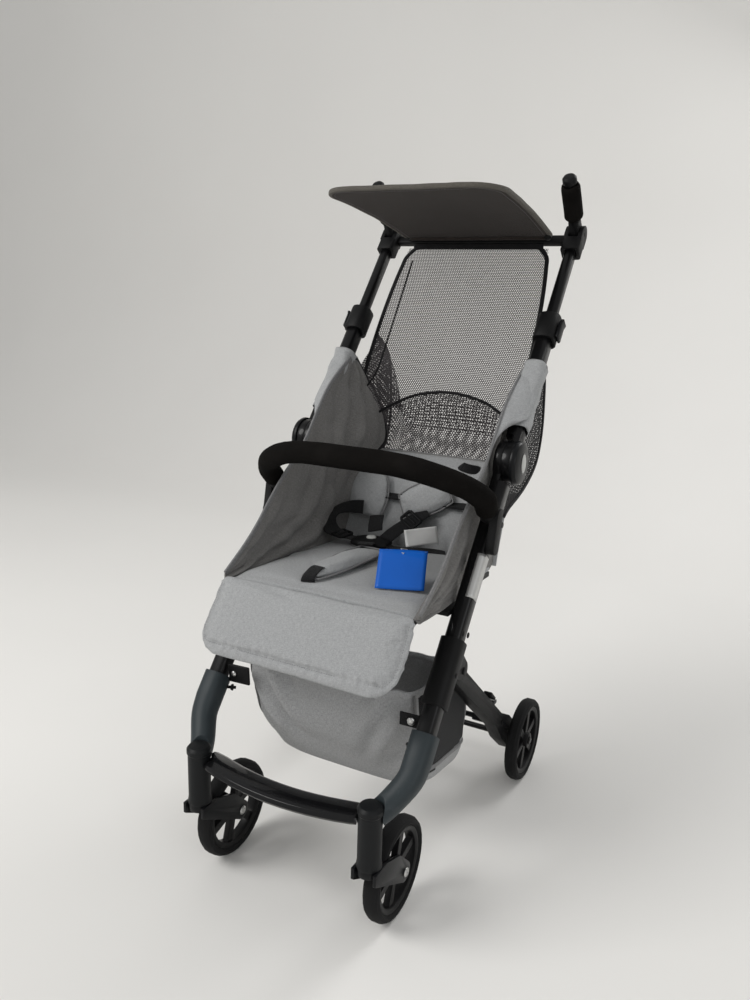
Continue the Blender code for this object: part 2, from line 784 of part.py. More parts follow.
def make_tyre(name, centre, wide):
    inner = WHEEL_RADIUS - TYRE_DEPTH
    half = wide / 2
    profile = [
        (inner, -half * 0.8),
        (inner + TYRE_DEPTH * 0.35, -half),
        (inner + TYRE_DEPTH * 0.75, -half * 0.88),
        (WHEEL_RADIUS, -half * 0.45),
        (WHEEL_RADIUS, half * 0.45),
        (inner + TYRE_DEPTH * 0.75, half * 0.88),
        (inner + TYRE_DEPTH * 0.35, half),
        (inner, half * 0.8),
    ]
    return turned(name, profile, centre, (1, 0, 0), RUBBER, 32, True)


def make_wheel(name, centre, wide, hub_low, hub_high, bore_radius, side):
    """A rim, a hub and their spokes, in one piece, bored for the axle."""
    outer = (WHEEL_RADIUS - TYRE_DEPTH) * math.cos(math.pi / 32) - GAP
    half = wide / 2 * 0.78
    rim_profile = [
        (outer - RIM_DEPTH, -half * 0.8),
        (outer, -half),
        (outer, half),
        (outer - RIM_DEPTH, half * 0.8),
    ]
    wheel = turned(name, rim_profile, centre, (side, 0, 0), WHEEL_PLASTIC, 32, True)
    hub_profile = [(0, hub_low), (WHEEL_HUB_RADIUS, hub_low), (WHEEL_HUB_RADIUS, hub_high), (0, hub_high)]
    hub = turned(name + "_hub", hub_profile, centre, (side, 0, 0), WHEEL_PLASTIC, 20)
    join(wheel, hub)
    for i in range(SPOKES):
        turn = 2 * math.pi * (i + 0.25) / SPOKES
        out = Vector((0, math.cos(turn), math.sin(turn)))
        across = Vector((0, -math.sin(turn), math.cos(turn)))
        rings = []
        for reach, share in ((WHEEL_HUB_RADIUS * 0.6, 1.0), (outer - RIM_DEPTH * 0.5, 1.25)):
            middle = Vector(centre) + reach * out
            rings.append(
                [
                    middle + share * SPOKE_WIDE / 2 * a * across + Vector((SPOKE_THICK / 2 * b, 0, 0))
                    for a, b in ((1, 1), (-1, 1), (-1, -1), (1, -1))
                ]
            )
        join(wheel, loft(f"{name}_spoke_{i}", rings, WHEEL_PLASTIC))
    axle_hole = rod(
        name + "_axle_hole",
        Vector(centre) - Vector((wide * 1.5, 0, 0)),
        Vector(centre) + Vector((wide * 1.5, 0, 0)),
        bore_radius,
        WHEEL_PLASTIC,
    )
    return cut(wheel, axle_hole)


def make_front_wheels():
    arm_out = FRONT_TYRE_WIDE / 2 + WHEEL_SIDE_GAP + FORK_ARM_THICK
    hub_half = FRONT_TYRE_WIDE / 2 + WHEEL_SIDE_GAP - GAP
    for side in (-1, 1):
        centre = (side * CASTER_X, FRONT_AXLE_Y, WHEEL_RADIUS)
        tyre = make_tyre(side_name("front_tyre", side), centre, FRONT_TYRE_WIDE)
        wheel = make_wheel(
            side_name("front_wheel", side),
            centre,
            FRONT_TYRE_WIDE,
            -hub_half,
            hub_half,
            FRONT_AXLE_RADIUS + RUN,
            side,
        )
        hang(side_name("front_wheel", side), tyre, wheel)
        axle = bolt(
            side_name("front_axle", side),
            centre,
            arm_out + GAP,
            FRONT_AXLE_RADIUS,
            BOLT_HEAD_RADIUS,
            BOLT_HEAD_THICK,
            STEEL,
        )
        hang(side_name("caster", side), axle)


def make_rear_wheels():
    leg_face = REAR_LEG_X + REAR_LEG_WIDE / 2 + GAP
    hub_low, hub_high = leg_face - REAR_WHEEL_X, REAR_TYRE_WIDE / 2
    for side in (-1, 1):
        centre = (side * REAR_WHEEL_X, REAR_AXLE_Y, WHEEL_RADIUS)
        tyre = make_tyre(side_name("rear_tyre", side), centre, REAR_TYRE_WIDE)
        wheel = make_wheel(
            side_name("rear_wheel", side),
            centre,
            REAR_TYRE_WIDE,
            hub_low,
            hub_high,
            REAR_AXLE_RADIUS + RUN,
            side,
        )
        hang(side_name("rear_wheel", side), tyre, wheel)
    axle = bolt(
        "rear_axle",
        (0, REAR_AXLE_Y, WHEEL_RADIUS),
        REAR_WHEEL_X + REAR_TYRE_WIDE / 2 + GAP,
        REAR_AXLE_RADIUS,
        BOLT_HEAD_RADIUS + 0.001,
        BOLT_HEAD_THICK,
        STEEL,
    )
    hang("rear_legs", axle)


def leg_outline():
    """The rear leg's side view: a round eye, a slim shank and a deep housing round the axle."""
    angle = REAR_LEG_ANGLE
    axle = (REAR_AXLE_Y, WHEEL_RADIUS)
    run = Vector((REAR_LEG_SPAN[0], REAR_LEG_SPAN[1])).normalized()
    lift = Vector((-run.y, run.x))

    def shank(along, up):
        point = Vector(REAR_PIVOT) + along * run + up * lift
        return point.x, point.y

    slim, deep = REAR_LEG_DEEP / 2, REAR_HOUSING_DEEP / 2
    start = REAR_LEG_LENGTH - REAR_HOUSING_LONG
    return [
        *arc(REAR_PIVOT, slim, angle + 90, angle + 270, 10),
        shank(start - 0.03, -slim),
        shank(start + 0.02, -deep),
        *arc(axle, deep, angle - 90, angle + 90, 12),
        shank(start + 0.025, deep),
        shank(start - 0.02, slim),
    ]


def make_rear_legs():
    lug_out = REAR_LEG_X + REAR_LEG_WIDE / 2 + GAP + LUG_THICK
    inner, outer = REAR_LEG_X - REAR_LEG_WIDE / 2, REAR_LEG_X + REAR_LEG_WIDE / 2
    for side in (-1, 1):
        name = side_name("rear_leg", side)
        leg = prism(name, leg_outline(), side * inner, side * outer, BLACK_PLASTIC)
        pin = rod(
            name + "_pin",
            (side * REAR_LEG_X, *REAR_PIVOT),
            (side * (lug_out + 0.002), *REAR_PIVOT),
            REAR_PIVOT_PIN,
            BLACK_PLASTIC,
        )
        join(leg, pin)
        for label, place, radius in (
            ("_axle_hole", (REAR_AXLE_Y, WHEEL_RADIUS), REAR_AXLE_RADIUS + GAP),
            ("_brake_hole", BRAKE_PIVOT, BRAKE_ROD_RADIUS + RUN),
        ):
            cut(
                leg,
                rod(
                    name + label,
                    (side * (inner - 0.01), *place),
                    (side * (outer + 0.01), *place),
                    radius,
                    BLACK_PLASTIC,
                ),
            )
        hang("rear_legs", leg)


def make_brake():
    """A rod through both rear legs with a foot pedal beside the right one."""
    reach = REAR_LEG_X + REAR_LEG_WIDE / 4
    bar = rod("brake_bar", (-reach, *BRAKE_PIVOT), (reach, *BRAKE_PIVOT), BRAKE_ROD_RADIUS, SATIN_BLACK)
    pedal_out = REAR_LEG_X - REAR_LEG_WIDE / 2 - GAP
    half = BRAKE_PEDAL_THICK / 2
    turn = math.radians(REAR_LEG_ANGLE + 90)
    rise = Vector((math.cos(turn), math.sin(turn)))
    side = Vector((-rise.y, rise.x))
    outline = []
    for along, over in (
        (-BRAKE_ROD_RADIUS * 1.6, half),
        (-BRAKE_ROD_RADIUS * 1.6, -half),
        (BRAKE_PEDAL_REACH * 0.7, -half),
        (BRAKE_PEDAL_REACH, -half - 0.012),
        (BRAKE_PEDAL_REACH + half, -half - 0.008),
        (BRAKE_PEDAL_REACH * 0.9, half),
    ):
        place = Vector(BRAKE_PIVOT) + along * rise + over * side
        outline.append((place.x, place.y))
    pedal = prism("brake_bar_pedal", outline, pedal_out - BRAKE_PEDAL_WIDE, pedal_out, SATIN_BLACK)
    hang("brake", join(bar, pedal))


def make_footrest():
    """A bar bowed forwards between the caster heads, broad on top with a rounded lip."""
    path = []
    outlines = []
    steps = 14
    for i in range(steps + 1):
        x = CASTER_X * 0.93 * (2 * i / steps - 1)
        bow = 1 - (x / CASTER_X) ** 2
        path.append(Vector((x, FOOTREST_Y - FOOTREST_BOW * bow, FOOTREST_Z)))
        deep = FOOTREST_DEEP * (0.75 + 0.25 * min(1, 2.5 * bow))
        outlines.append(footrest_section(deep))
    bar = swept("footrest_bar", path, outlines, Vector((0, 1, 0)), GLOSS_BLACK)
    for side in (-1, 1):
        cut(bar, head_clearance(side_name("footrest_bar", side), side))


def footrest_section(deep):
    thick = FOOTREST_THICK
    return [
        (deep / 2, -thick * 0.2),
        (deep / 2, thick * 0.3),
        (deep * 0.3, thick * 0.5),
        (-deep * 0.2, thick * 0.42),
        (-deep * 0.42, thick * 0.22),
        (-deep * 0.5, -thick * 0.12),
        (-deep * 0.42, -thick * 0.42),
        (-deep * 0.2, -thick * 0.5),
        (deep * 0.3, -thick * 0.4),
    ]


def make_stems():
    for side in (-1, 1):
        stem = rail_bar(
            side_name("stem", side),
            side,
            STEM_TOP - STEM_LENGTH,
            STEM_TOP - GAP,
            STEM_WIDE,
            STEM_DEEP,
            STEM_CORNER,
            BLACK_METAL,
        )
        hang("handle", stem)


def make_clamps():
    """A collar on each rail's top end, with a lever that swings out to free the stem."""
    wide, deep = TUBE_WIDE + 2 * CLAMP_WALL, TUBE_DEEP + 2 * CLAMP_WALL
    low = RAIL_LENGTH - CLAMP_SEAT
    for side in (-1, 1):
        name = side_name("clamp", side)
        collar = rail_bar(
            name, side, low, low + CLAMP_LONG, wide, deep, TUBE_CORNER + CLAMP_WALL, BLACK_PLASTIC
        )
        seat = rail_bar(
            name + "_seat",
            side,
            low - 0.01,
            RAIL_LENGTH + GAP,
            TUBE_WIDE + 2 * GAP,
            TUBE_DEEP + 2 * GAP,
            TUBE_CORNER,
            BLACK_PLASTIC,
        )
        passage = rail_bar(
            name + "_passage",
            side,
            low,
            low + CLAMP_LONG + 0.01,
            STEM_WIDE + 2 * RUN,
            STEM_DEEP + 2 * RUN,
            STEM_CORNER,
            BLACK_PLASTIC,
        )
        cut(collar, seat, passage)
        hang("fold", collar)
        hang(side_name("lever", side), make_lever(side))


def make_lever(side):
    """A flat lever with a round lower end on its hinge, and a finger tip that turns out."""
    half = LEVER_THICK / 2
    turns = [math.radians(45 * i) for i in range(-2, 3)]
    outline = [(half * math.sin(turn), -half * math.cos(turn)) for turn in turns]
    outline += [(half, LEVER_LONG - LEVER_TIP_LONG), (half + LEVER_TIP_OUT, LEVER_LONG)]
    outline += [(0, LEVER_LONG), (-half, LEVER_LONG - LEVER_TIP_LONG)]
    rings = []
    for ahead in (-LEVER_DEEP / 2, LEVER_DEEP / 2):
        rings.append(
            [rail_point(side, LEVER_ALONG + up, ahead, LEVER_X - RAIL_X + out) for out, up in outline]
        )
    return loft(side_name("clamp_lever", side), rings, SATIN_BLACK)


def cheek_outline(radius, reach, half):
    """A round end on the grip's hinge with straight sides that run down the rail."""
    lean = 90 - math.degrees(RAIL_LEAN)
    low = [rail_line(GRIP_PIVOT_ALONG - reach, -half), rail_line(GRIP_PIVOT_ALONG - reach, half)]
    return arc(GRIP_PIVOT, radius, lean - 90, lean + 90, 10) + low[::-1]


def make_handle_joints():
    """A socket on each stem's top with two cheeks for the grip's tongue."""
    wide, deep = STEM_WIDE + 2 * (JOINT_WALL + RUN) + 0.003, STEM_DEEP + 2 * JOINT_WALL
    socket_low = STEM_TOP - JOINT_SOCKET_LONG
    socket_high = STEM_TOP + 0.008
    for side in (-1, 1):
        name = side_name("handle_joint", side)
        block = rail_bar(name, side, socket_low, socket_high, wide, deep, 0.005, BLACK_PLASTIC)
        for inward in (-1, 1):
            near = inward * (wide / 2 - GAP - CHEEK_THICK)
            cheek = prism(
                f"{name}_cheek_{inward + 1}",
                cheek_outline(CHEEK_RADIUS, GRIP_PIVOT_ALONG - socket_high + 0.003, deep / 2 - 2 * GAP),
                side * (RAIL_X + near),
                side * (RAIL_X + near + inward * CHEEK_THICK),
                BLACK_PLASTIC,
            )
            join(block, cheek)
        socket = rail_bar(
            name + "_socket",
            side,
            socket_low - 0.01,
            STEM_TOP,
            STEM_WIDE + 2 * GAP,
            STEM_DEEP + 2 * GAP,
            STEM_CORNER,
            BLACK_PLASTIC,
        )
        pin_hole = rod(
            name + "_pin_hole",
            (side * (RAIL_X - wide), *GRIP_PIVOT),
            (side * (RAIL_X + wide), *GRIP_PIVOT),
            GRIP_PIN_RADIUS + RUN,
            BLACK_PLASTIC,
        )
        cut(block, socket, pin_hole)
        hang("handle", block)


def make_grips():
    """Foam sleeves on cores, each core with a tongue and pin in its handle joint."""
    block_half = (STEM_WIDE + 2 * (JOINT_WALL + RUN) + 0.003) / 2
    tongue_half = block_half - GAP - CHEEK_THICK - RUN
    turn = math.radians(GRIP_ANGLE)
    run = Vector((0, math.cos(turn), math.sin(turn)))
    for side in (-1, 1):
        centre = Vector((side * RAIL_X, *GRIP_PIVOT))
        name = side_name("grip_core", side)
        end = GRIP_START + GRIP_LONG
        profile = [
            (0, GRIP_START - 0.006),
            (GRIP_CORE_RADIUS, GRIP_START - 0.004),
            (GRIP_CORE_RADIUS, end + GAP),
            (GRIP_CAP_RADIUS, end + GAP),
            (GRIP_CAP_RADIUS, end + GRIP_CAP_LONG * 0.7),
            (GRIP_CAP_RADIUS * 0.75, end + GRIP_CAP_LONG),
            (0, end + GRIP_CAP_LONG),
        ]
        core = turned(name, profile, centre, run, BLACK_PLASTIC, 16)
        half = GRIP_CORE_RADIUS * 0.9
        outline = arc(GRIP_PIVOT, CHEEK_RADIUS - 0.001, GRIP_ANGLE + 90, GRIP_ANGLE + 270, 10)
        for over in (-half, half):
            place = centre + (GRIP_START - 2 * GAP) * run + over * Vector((0, -run.z, run.y))
            outline.append((place.y, place.z))
        tongue = prism(
            name + "_tongue",
            outline,
            side * (RAIL_X - tongue_half),
            side * (RAIL_X + tongue_half),
            BLACK_PLASTIC,
        )
        pin = rod(
            name + "_pin",
            (side * (RAIL_X - block_half), *GRIP_PIVOT),
            (side * (RAIL_X + block_half), *GRIP_PIVOT),
            GRIP_PIN_RADIUS,
            BLACK_PLASTIC,
        )
        join(core, tongue, pin)
        inner = (GRIP_CORE_RADIUS + GAP) / math.cos(math.pi / 20)
        foam_profile = [
            (inner, GRIP_START),
            (GRIP_RADIUS - 0.003, GRIP_START),
            (GRIP_RADIUS, GRIP_START + 0.004),
            (GRIP_RADIUS, end - 0.006),
            (GRIP_RADIUS - 0.003, end),
            (inner, end),
        ]
        foam = turned(side_name("grip_foam", side), foam_profile, centre, run, FOAM, 20, True)
        hang(side_name("grip", side), core, foam)


def make_bridge_and_canopy():
    block_half = (STEM_WIDE + 2 * (JOINT_WALL + RUN) + 0.003) / 2
    half = RAIL_X - block_half - GAP
    outline = rounded_rectangle(BRIDGE_DEEP, BRIDGE_TALL, 0.003, 2)
    rings = []
    for x in (-half, half):
        rings.append([Vector((x, *rail_line(BRIDGE_ALONG + b, a - BRIDGE_BEHIND))) for a, b in outline])
    hang("handle", loft("handle_bridge", rings, BLACK_PLASTIC))
    rod_half = CANOPY_BACK_HALF - 0.004
    hinge = rod(
        "canopy_rod", (-rod_half, *CANOPY_PIVOT), (rod_half, *CANOPY_PIVOT), CANOPY_ROD_RADIUS, BLACK_METAL
    )
    hang("canopy", hinge, make_canopy())


def make_canopy():
    """A thin panel, slightly crowned, whose front corners are round."""
    back = CANOPY_ROD_RADIUS + GAP
    stations = [0.0, 0.02, 0.25, 0.5, 0.75]
    stations += [1 - (1 - math.sin(math.radians(a))) * CANOPY_CORNER / CANOPY_LONG for a in range(0, 91, 15)]
    run = Vector((0, -math.cos(CANOPY_RISE), math.sin(CANOPY_RISE)))
    lift = Vector((0, math.sin(CANOPY_RISE), math.cos(CANOPY_RISE)))
    rings = []
    for share in stations:
        reach = share * CANOPY_LONG
        half = CANOPY_BACK_HALF + (CANOPY_FRONT_HALF - CANOPY_BACK_HALF) * share
        into = reach - (CANOPY_LONG - CANOPY_CORNER)
        if into > 0:
            half -= CANOPY_CORNER - math.sqrt(max(0, CANOPY_CORNER**2 - into**2))
        arch = CANOPY_CROWN * math.sin(math.pi * min(1, share))
        middle = Vector((0, *CANOPY_PIVOT)) + (back + reach) * run + arch * lift
        rings.append(flat_ring(middle, Vector((1, 0, 0)), lift, half, CANOPY_THICK, 8))
    return loft("canopy", rings, CANOPY_CLOTH)


def flat_ring(middle, across, lift, half, thick, steps):
    """A long ring with half-round ends, for thin panels."""
    nose = thick / 2
    points = []
    for turn in (-60, -20, 20, 60):
        a = math.radians(turn)
        points.append((half - nose + nose * math.cos(a), nose * math.sin(a)))
    for i in range(1, steps):
        points.append(((half - nose) * (1 - 2 * i / steps), nose))
    for turn in (120, 160, 200, 240):
        a = math.radians(turn)
        points.append((-half + nose + nose * math.cos(a), nose * math.sin(a)))
    for i in range(1, steps):
        points.append(((half - nose) * (2 * i / steps - 1), -nose))
    return [middle + a * across + b * lift for a, b in points]


def bumper_direction():
    return Vector((0, -math.cos(BUMPER_ARM_RISE), math.sin(BUMPER_ARM_RISE)))


def make_bumper():
    """A foam-covered U, bored at its ends for the pegs of the two swinging end pieces."""
    run = bumper_direction()
    start = Vector((BUMPER_FOAM_X, BUMPER_PIVOT_Y, BUMPER_PIVOT_Z)) + BUMPER_FOAM_START * run
    elbow = start + BUMPER_ARM_LONG * run
    front = Vector((0, BUMPER_FRONT_Y, BUMPER_FRONT_Z))
    inset, ahead, rise = BUMPER_SHOULDER
    shoulder = Vector((BUMPER_FOAM_X - inset, elbow.y - ahead, elbow.z + rise))
    inset, behind, drop = BUMPER_QUARTER
    quarter = Vector((BUMPER_FOAM_X - inset, front.y + behind, front.z - drop))
    arm = [start + share * BUMPER_ARM_LONG * run for share in (0.4, 0.8)]
    half = [*arm, shoulder, quarter, front]
    mirrored = [Vector((-p.x, p.y, p.z)) for p in half[-2::-1]]
    path = [start, *smooth_path(half + mirrored, 4), Vector((-start.x, start.y, start.z))]
    outline = ellipse(2 * BUMPER_FOAM_RADIUS, 2 * BUMPER_FOAM_RADIUS)
    up = Vector((0, 0.5, 1)).normalized()
    bar = swept("bumper_bar", path, [outline] * len(path), up, FOAM)
    for side in (-1, 1):
        first = Vector((side * start.x, start.y, start.z))
        bore = rod(
            f"bumper_bore_{side + 1}",
            first - 0.01 * run,
            first + (BUMPER_PEG_LONG + 2 * GAP) * run,
            BUMPER_PEG_RADIUS + GAP,
            FOAM,
            12,
        )
        cut(bar, bore)
    hang("bumper", bar)


def make_bumper_ends():
    """Paddles that turn on pins beside the legs, each with a peg up into the bar."""
    run = bumper_direction()
    inner = RAIL_X + TUBE_WIDE / 2 + GAP
    outer = inner + BUMPER_END_THICK
    tail = 270 - math.degrees(RAIL_LEAN)
    head = 180 - math.degrees(BUMPER_ARM_RISE)
    pin = (BUMPER_PIVOT_Y, BUMPER_PIVOT_Z)
    tail_centre = (
        pin[0] + BUMPER_PADDLE_LONG * math.cos(math.radians(tail)),
        pin[1] + BUMPER_PADDLE_LONG * math.sin(math.radians(tail)),
    )
    head_centre = (pin[0] + BUMPER_HEAD_LONG * run.y, pin[1] + BUMPER_HEAD_LONG * run.z)
    outline = [
        *arc(head_centre, BUMPER_END_RADIUS, head - 90, head + 40, 7),
        *arc(tail_centre, BUMPER_TAIL_RADIUS, tail - 90, tail + 90, 8),
    ]
    for side in (-1, 1):
        name = side_name("bumper_end", side)
        paddle = prism(name, outline, side * inner, side * outer, BLACK_PLASTIC)
        first = Vector((side * BUMPER_FOAM_X, *pin)) + BUMPER_BOSS_START * run
        last = Vector((side * BUMPER_FOAM_X, *pin)) + (BUMPER_FOAM_START + BUMPER_PEG_LONG) * run
        peg = rod(name + "_peg", first, last, BUMPER_PEG_RADIUS, BLACK_PLASTIC, 12)
        bridge = rod(
            name + "_boss",
            first,
            first + (BUMPER_FOAM_START - BUMPER_BOSS_START - GAP) * run,
            BUMPER_END_RADIUS,
            BLACK_PLASTIC,
            16,
        )
        near, far = (side * (inner - 0.01), *pin), (side * (outer + 0.01), *pin)
        pin_hole = rod(name + "_pin_hole", near, far, BUMPER_PIN_RADIUS + RUN, BLACK_PLASTIC)
        join(paddle, bridge, peg)
        cut(paddle, pin_hole)
        hang("bumper_ends", paddle)


def pillow_ring(middle, across, lift, half, thick, fullness=0.55, steps=16):
    """A soft closed ring: wide, low, and rounded at its two edges."""
    ring = []
    for i in range(steps):
        a = 2 * math.pi * i / steps
        x = math.copysign(abs(math.cos(a)) ** fullness, math.cos(a))
        z = math.copysign(abs(math.sin(a)) ** 0.8, math.sin(a))
        ring.append(middle + half * x * across + thick / 2 * z * lift)
    return ring


def seat_top(y):
    """Height of the seat pad's upper side at a place along it."""
    share = (y - SEAT_FRONT_Y) / (SEAT_REAR_Y - SEAT_FRONT_Y)
    return SEAT_FRONT_Z + (SEAT_REAR_Z - SEAT_FRONT_Z) * share


def seat_half(y):
    """Half the pad's width: full between the legs, narrower where the rear legs swing up."""
    return SEAT_HALF + (SEAT_REAR_HALF - SEAT_HALF) * seat_narrowing(y)


def seat_narrowing(y):
    return min(1, max(0, (y - SEAT_NARROW_Y + SEAT_NARROW_LONG) / SEAT_NARROW_LONG))


def make_seat():
    low = SEAT_PAD_THICK + GAP
    outline = [
        (SEAT_FRONT_Y, SEAT_FRONT_Z - low - SEAT_BOARD_THICK),
        (SEAT_REAR_Y, SEAT_REAR_Z - low - SEAT_BOARD_THICK),
        (SEAT_REAR_Y, SEAT_REAR_Z - low),
        (SEAT_FRONT_Y, SEAT_FRONT_Z - low),
    ]
    board = prism("seat_board", outline, -SEAT_BOARD_HALF, SEAT_BOARD_HALF, BLACK_PLASTIC)
    board_z = SEAT_FRONT_Z - low - SEAT_BOARD_THICK / 2
    leg_y = HUB_Y + (board_z - HUB_Z) * math.tan(RAIL_LEAN)
    outline = []
    for along, down in ((-0.5, 0.9), (0.5, 0.9), (0.5, 0.1), (-0.5, 0.1)):
        y = leg_y + along * SEAT_EAR_LONG
        outline.append((y, seat_top(y) - low - down * SEAT_BOARD_THICK))
    ear_half = RAIL_X - TUBE_WIDE / 2 - GAP
    join(board, prism("seat_board_ears", outline, -ear_half, ear_half, BLACK_PLASTIC))

    lift = Vector((0, 0, 1))
    rings = []
    stations = 11
    for i in range(stations):
        share = i / (stations - 1)
        y = SEAT_FRONT_Y + (SEAT_REAR_Y - SEAT_FRONT_Y) * share
        ends = math.sin(math.pi * min(1, max(0, share)))
        half = seat_half(y) - SEAT_END_INSET * (1 - min(1, 4 * ends))
        thick = SEAT_PAD_THICK - SEAT_END_THINNER * (1 - min(1, 3 * ends))
        middle = Vector((0, y, seat_top(y) - SEAT_PAD_THICK + thick / 2))
        rings.append(pillow_ring(middle, Vector((1, 0, 0)), lift, half, thick, PAD_EDGE_SHARE, PAD_STEPS))
    loft("seat_pad", rings, SEAT_CLOTH, 60)


def make_calf_rest():
    """A padded flap on the seat's front edge, round at the hinge and at its lower corners."""
    run = Vector((0, -math.sin(CALF_LEAN), -math.cos(CALF_LEAN)))
    lift = Vector((0, run.z, -run.y))
    across = Vector((1, 0, 0))
    centre = Vector((0, *CALF_PIVOT))
    rings = []
    for sine in (-0.98, -0.8, -0.4):
        thick = CALF_THICK * math.sqrt(1 - sine**2)
        middle = centre + sine * CALF_THICK / 2 * run
        half = CALF_HALF - CALF_HINGE_INSET
        rings.append(pillow_ring(middle, across, lift, half, thick, PAD_EDGE_SHARE, PAD_STEPS))
    for share, full in CALF_STATION_SHARES:
        reach = share * CALF_LONG
        into = max(0, reach - (CALF_LONG - CALF_CORNER))
        half = CALF_HALF - CALF_CORNER + math.sqrt(max(0, CALF_CORNER**2 - into**2))
        thick = (CALF_THICK + CALF_CROWN * math.sin(math.pi * share)) * full
        middle = centre + reach * run + CALF_BEND * share**2 * lift
        rings.append(pillow_ring(middle, across, lift, half, thick, PAD_EDGE_SHARE, PAD_STEPS))
    hang("calf_rest", loft("calf_rest", rings, SEAT_CLOTH, 60))


def pad(name, start, end, half_widths, thick, lift, finish):
    """A small stuffed pad along a line, with its half width at each station."""
    start, end, lift = Vector(start), Vector(end), Vector(lift).normalized()
    run = (end - start).normalized()
    across = run.cross(lift).normalized()
    rings = []
    count = len(half_widths)
    for i, half in enumerate(half_widths):
        share = i / (count - 1)
        full = math.sin(math.pi * (0.08 + 0.84 * share)) ** 0.5
        rings.append(pillow_ring(start + (end - start) * share, across, lift, half, thick * full, 0.6, 12))
    return loft(name, rings, finish, 60)


def make_harness():
    top = seat_top
    rest = HARNESS_PAD_THICK / 2 + CLOTH_GAP
    pad(
        "crotch_pad",
        (*CROTCH_PAD_FRONT, top(CROTCH_PAD_FRONT[1]) + rest),
        (*CROTCH_PAD_REAR, top(CROTCH_PAD_REAR[1]) + rest),
        CROTCH_PAD_HALVES,
        HARNESS_PAD_THICK,
        (0, 0, 1),
        SEAT_CLOTH,
    )
    buckle_z = top(BUCKLE_Y) + BUCKLE_THICK / 2 + CLOTH_GAP
    buckle = pad(
        "buckle",
        (BUCKLE_X - BUCKLE_WIDE / 2, BUCKLE_Y - BUCKLE_SKEW, buckle_z),
        (BUCKLE_X + BUCKLE_WIDE / 2, BUCKLE_Y + BUCKLE_SKEW, buckle_z),
        BUCKLE_HALVES,
        BUCKLE_THICK,
        (0, 0, 1),
        BLACK_PLASTIC,
    )
    button_place = Vector((BUCKLE_X, BUCKLE_Y, buckle_z))
    seat, radius = BUCKLE_THICK * 0.2, BUTTON_RADIUS + RUN
    recess_profile = [(0, seat), (radius, seat), (radius, BUCKLE_THICK), (0, BUCKLE_THICK)]
    recess = turned("buckle_recess", recess_profile, button_place, (0, 0, 1), BLACK_PLASTIC, 16)
    cut(buckle, recess)
    low = seat + BUTTON_TRAVEL + GAP
    high = BUCKLE_THICK / 2 + BUTTON_TRAVEL
    button_profile = [
        (0, low),
        (BUTTON_RADIUS, low),
        (BUTTON_RADIUS, high - 0.0012),
        (BUTTON_RADIUS * 0.75, high),
        (0, high + 0.0004),
    ]
    button = turned("buckle_button", button_profile, button_place, (0, 0, 1), PALE_PLASTIC, 16)
    hang("buckle_button", button)
    up = Vector(BACK_FOOT_RISE).normalized()
    ahead = Vector((-up.y, up.x))

    def against_back(x, along):
        place = Vector((BACK_LOW_Y, BACK_LOW_Z)) + along * up + (CLOTH_THICK + rest + 0.0005) * ahead
        return Vector((x, place.x, place.y))

    for side, low, high, halves in ((-1, *LEFT_SHOULDER_PAD), (1, *RIGHT_SHOULDER_PAD)):
        start, end = against_back(*low), against_back(*high)
        lift = (0, ahead.x, ahead.y)
        pad(side_name("shoulder_pad", side), start, end, halves, HARNESS_PAD_THICK, lift, SEAT_CLOTH)


def wing_sheet(side):
    """The cloth side panel as a thick sheet, from the rail's front down to the seat."""
    inner = RAIL_X - TUBE_WIDE / 2 - CLOTH_THICK / 2 - CLOTH_GAP
    rear_x = SEAT_REAR_HALF + CLOTH_GAP + CLOTH_THICK / 2 + 0.0005
    front = [rail_line(WING_TOP_ALONG - along, ahead) for along, ahead in WING_RAIL_EDGE]
    front += WING_FRONT_EDGE
    back = [rail_line(WING_TOP_ALONG - WING_TOP_SLANT, -WING_TOP_DEEP), *WING_REAR_EDGE]
    lift = Vector((1, 0, 0))
    rings = []
    for low, high in zip(front, back):
        near, far = [], []
        for k in range(6):
            share = k / 5
            y = low[0] + (high[0] - low[0]) * share
            z = low[1] + (high[1] - low[1]) * share
            behind = (y - rail_line(0)[0]) * math.cos(RAIL_LEAN) - (z - rail_line(0)[1]) * math.sin(RAIL_LEAN)
            draw = min(1, max(0, (behind - WING_DRAW_START) / WING_DRAW_LONG))
            x = inner + (rear_x - inner) * draw * seat_narrowing(y)
            near.append(Vector((side * x, y, z)) - CLOTH_THICK / 2 * lift)
            far.append(Vector((side * x, y, z)) + CLOTH_THICK / 2 * lift)
        rings.append(near + far[::-1])
    return rings


def make_wings():
    for side in (-1, 1):
        name = side_name("side_wing", side)
        wing = loft(name, wing_sheet(side), SIDE_CLOTH, 60)
        room = TUBE_WIDE + 2 * CLOTH_GAP, TUBE_DEEP + 2 * CLOTH_GAP
        shell = room[0] + 2 * WING_SLEEVE_THICK, room[1] + 2 * WING_SLEEVE_THICK
        low = HUB_TUBE_START + TUBE_WIDE / 2 + 0.002
        sleeve = rail_bar(
            name + "_sleeve",
            side,
            low,
            WING_TOP_ALONG,
            *shell,
            TUBE_CORNER + WING_SLEEVE_THICK,
            SIDE_CLOTH,
        )
        inside = rail_bar(
            name + "_inside", side, low - 0.01, WING_TOP_ALONG + 0.01, *room, TUBE_CORNER, SIDE_CLOTH
        )
        cut(join(wing, sleeve), inside)


